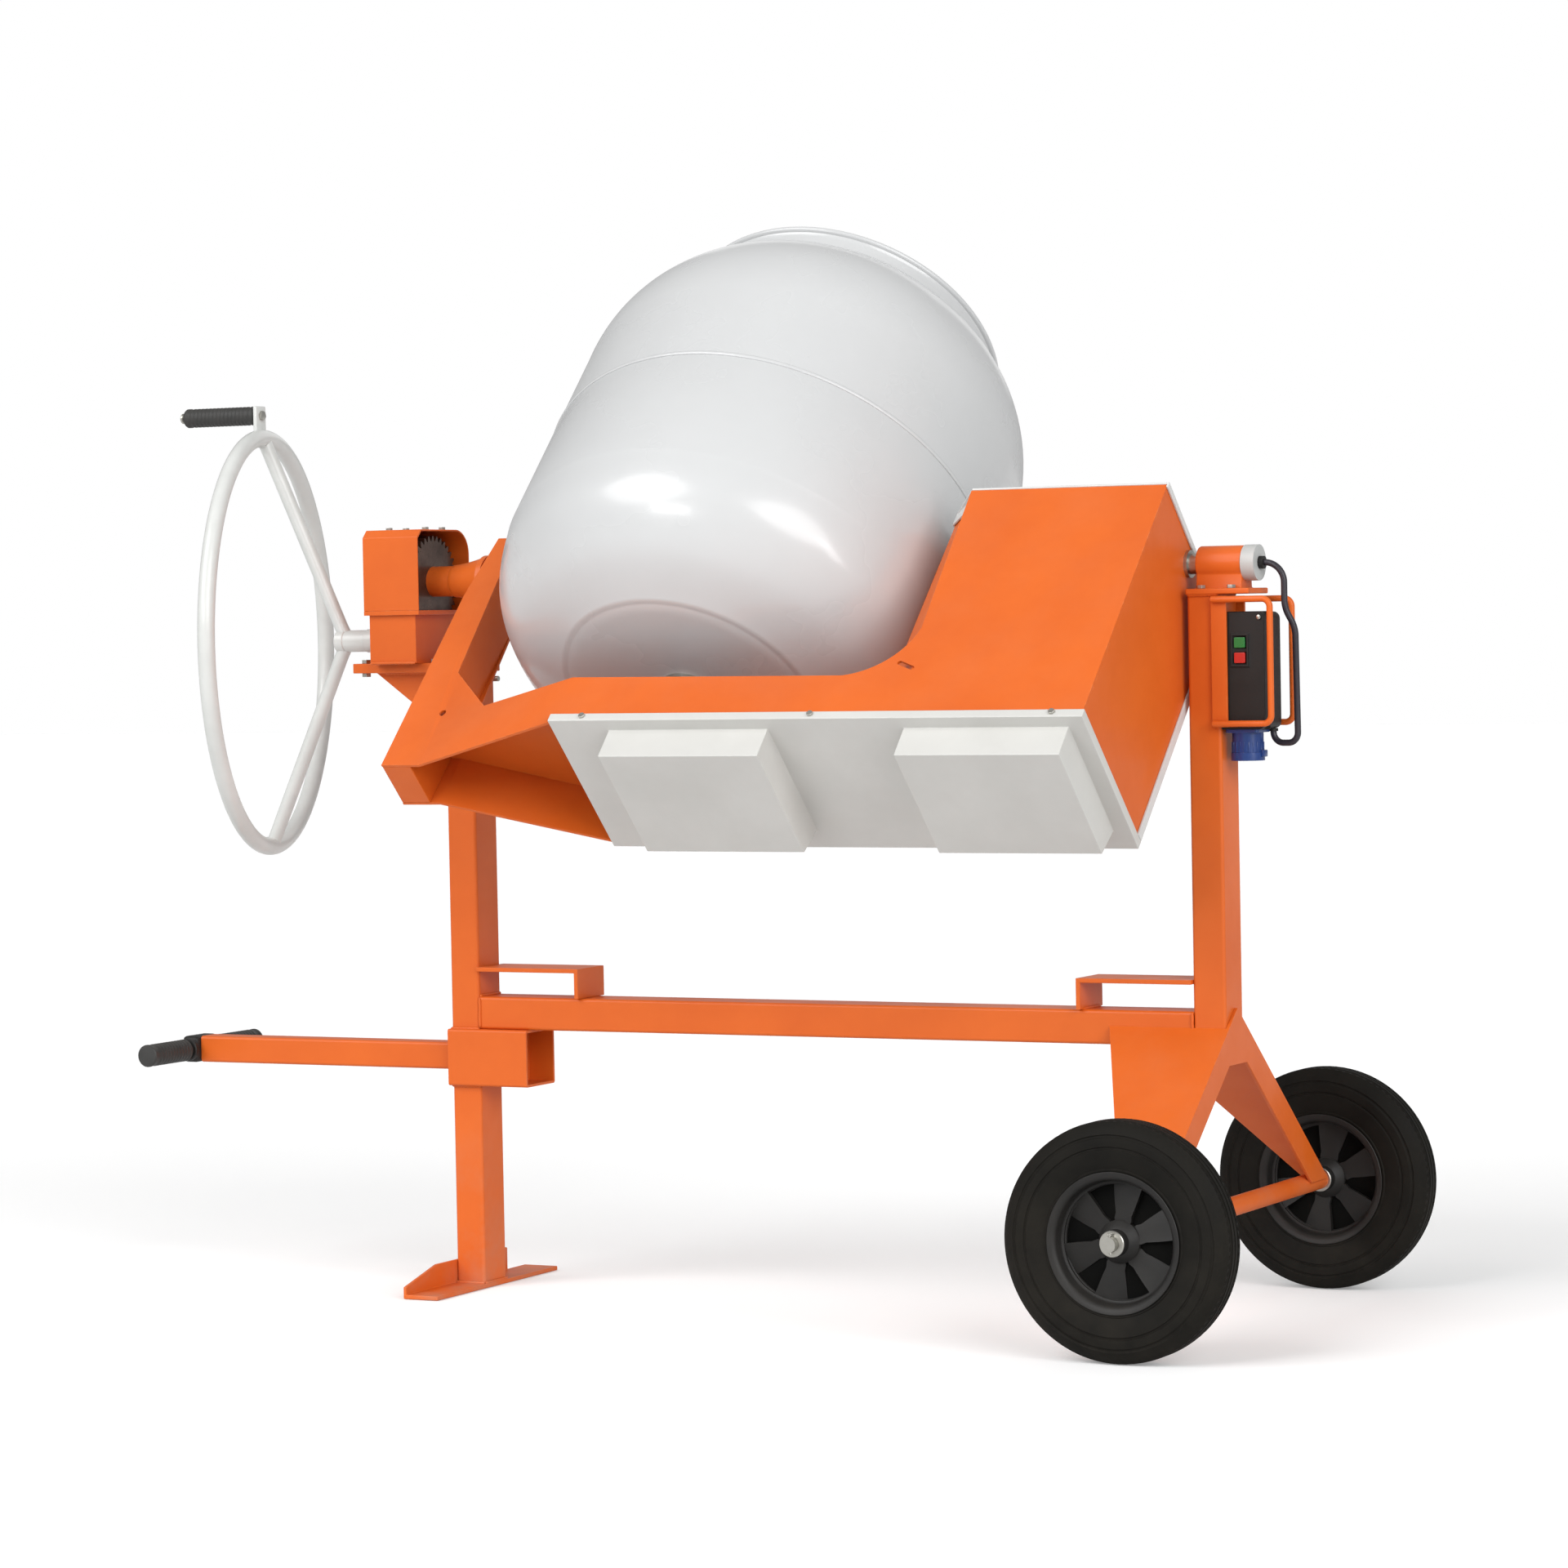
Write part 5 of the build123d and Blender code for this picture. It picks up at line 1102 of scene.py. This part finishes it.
def buildCradleTrim():
    ct = cradleTrim
    shape = bmesh.new()
    plan = [(ct["panFrom"], ct["panHalf"]), (ct["panBend"], ct["panHalf"]), (ct["panTo"], ct["panWide"])]
    plan = [(x, -v) for x, v in plan] + [(x, v) for x, v in plan[::-1]]
    low = [shape.verts.new(cradlePoint(x, v, ct["panLow"])) for x, v in plan]
    high = [shape.verts.new(cradlePoint(x, v, ct["panHigh"])) for x, v in plan]
    shape.faces.new(low[::-1])
    shape.faces.new(high)
    for i in range(len(plan)):
        j = (i + 1) % len(plan)
        shape.faces.new((low[i], low[j], high[j], high[i]))
    finishPiece("case_pan", shape, "cradle", "orangePaint", (), 30, True)
    shape = bmesh.new()
    span = ct["collarTo"] - ct["collarFrom"]
    flare = ct["collarLarge"] - ct["collarSmall"]
    profile = [(ct["collarSmall"] - 0.0002, ct["collarFrom"])]
    profile += [
        (
            ct["collarSmall"] + 0.0015 + flare * (k / 10) ** 1.5,
            ct["collarFrom"] + 0.002 + (span - 0.002) * k / 10,
        )
        for k in range(11)
    ]
    profile += [(ct["collarSmall"] - 0.0002, ct["collarTo"])]
    revolveInto(shape, profile, pivot, rightWay, backWay, 56)
    finishPiece("trunnion_collar", shape, "cradle", "orangePaint")


buildCradleTrim()
print("cradle trim ready")


# weld beads along the frame's joints
weldPlace = {
    "postHalf": 0.030, "postSide": 0.0415, "postFace": 0.0315, "faceHalf": 0.038, "footTop": 0.0085,
    "sleeveTop": 0.4805, "sleeveUnder": 0.3745,
    "beamSide": 0.0405, "beamLow": 0.484, "beamHigh": 0.537, "beamTop": 0.5415, "beamHalf": 0.036,
    "wheelPostFace": 1.4485, "wheelBeamLow": 0.490, "strapEnds": (0.2368, 1.2432), "strapTop": 0.5408,
    "baseUnder": 1.1385, "gussetTop": 1.1395, "gussetFrom": -0.155, "gussetTo": -0.036,
    "gussetSides": (-0.0410, 0.0290),
    "housingFrom": -0.160, "housingTo": -0.064, "housingSide": 0.0862, "housingFoot": 1.1588,
    "seatFrom": 1.452, "seatTo": 1.508, "seatUnder": 1.2545,
}


def weldAlong(shape, fromX, toX, height, sides):
    for y in sides:
        weldInto(shape, (fromX, y, height), (toX, y, height))


def weldAcross(shape, x, half, height):
    weldInto(shape, (x, -half, height), (x, half, height))


def weldUpright(shape, x, y, low, high):
    weldInto(shape, (x, y, low), (x, y, high))


def buildWelds():
    wp = weldPlace
    half, face = wp["postHalf"], wp["postFace"]
    bothSides = (-wp["postSide"], wp["postSide"])
    shape = bmesh.new()
    weldAlong(shape, -half, half, wp["footTop"], bothSides)  # foot post on the foot
    weldAcross(shape, face, wp["faceHalf"], wp["footTop"])
    weldAlong(shape, -half, half, wp["sleeveTop"], bothSides)  # post over the sleeve, lower leg under it
    weldAlong(shape, -half, half, wp["sleeveUnder"], bothSides)
    weldUpright(shape, face, -wp["beamSide"], wp["beamLow"], wp["beamHigh"])  # beam ends
    weldAcross(shape, face, wp["beamHalf"], wp["beamTop"])
    weldUpright(shape, face, wp["beamSide"], wp["beamLow"], wp["beamHigh"])
    for side in (-wp["beamSide"], wp["beamSide"]):
        weldUpright(shape, wp["wheelPostFace"], side, wp["wheelBeamLow"], wp["beamHigh"])
    for x in wp["strapEnds"]:
        weldAcross(shape, x, wp["faceHalf"], wp["strapTop"])
    weldAlong(shape, -half, half, wp["baseUnder"], bothSides[:1])  # gear base on the post, and its gussets
    weldAcross(shape, face, wp["faceHalf"], wp["baseUnder"])
    weldAlong(shape, wp["gussetFrom"], wp["gussetTo"], wp["gussetTop"], wp["gussetSides"])
    housingSides = (-wp["housingSide"], wp["housingSide"])
    weldAlong(shape, wp["housingFrom"], wp["housingTo"], wp["housingFoot"], housingSides)
    # bearing seat on the wheel post
    weldAlong(shape, wp["seatFrom"], wp["seatTo"], wp["seatUnder"], bothSides)
    finishPiece("chassis_welds", shape, "chassis", "orangePaint", (), 60)


buildWelds()
print("welds ready")
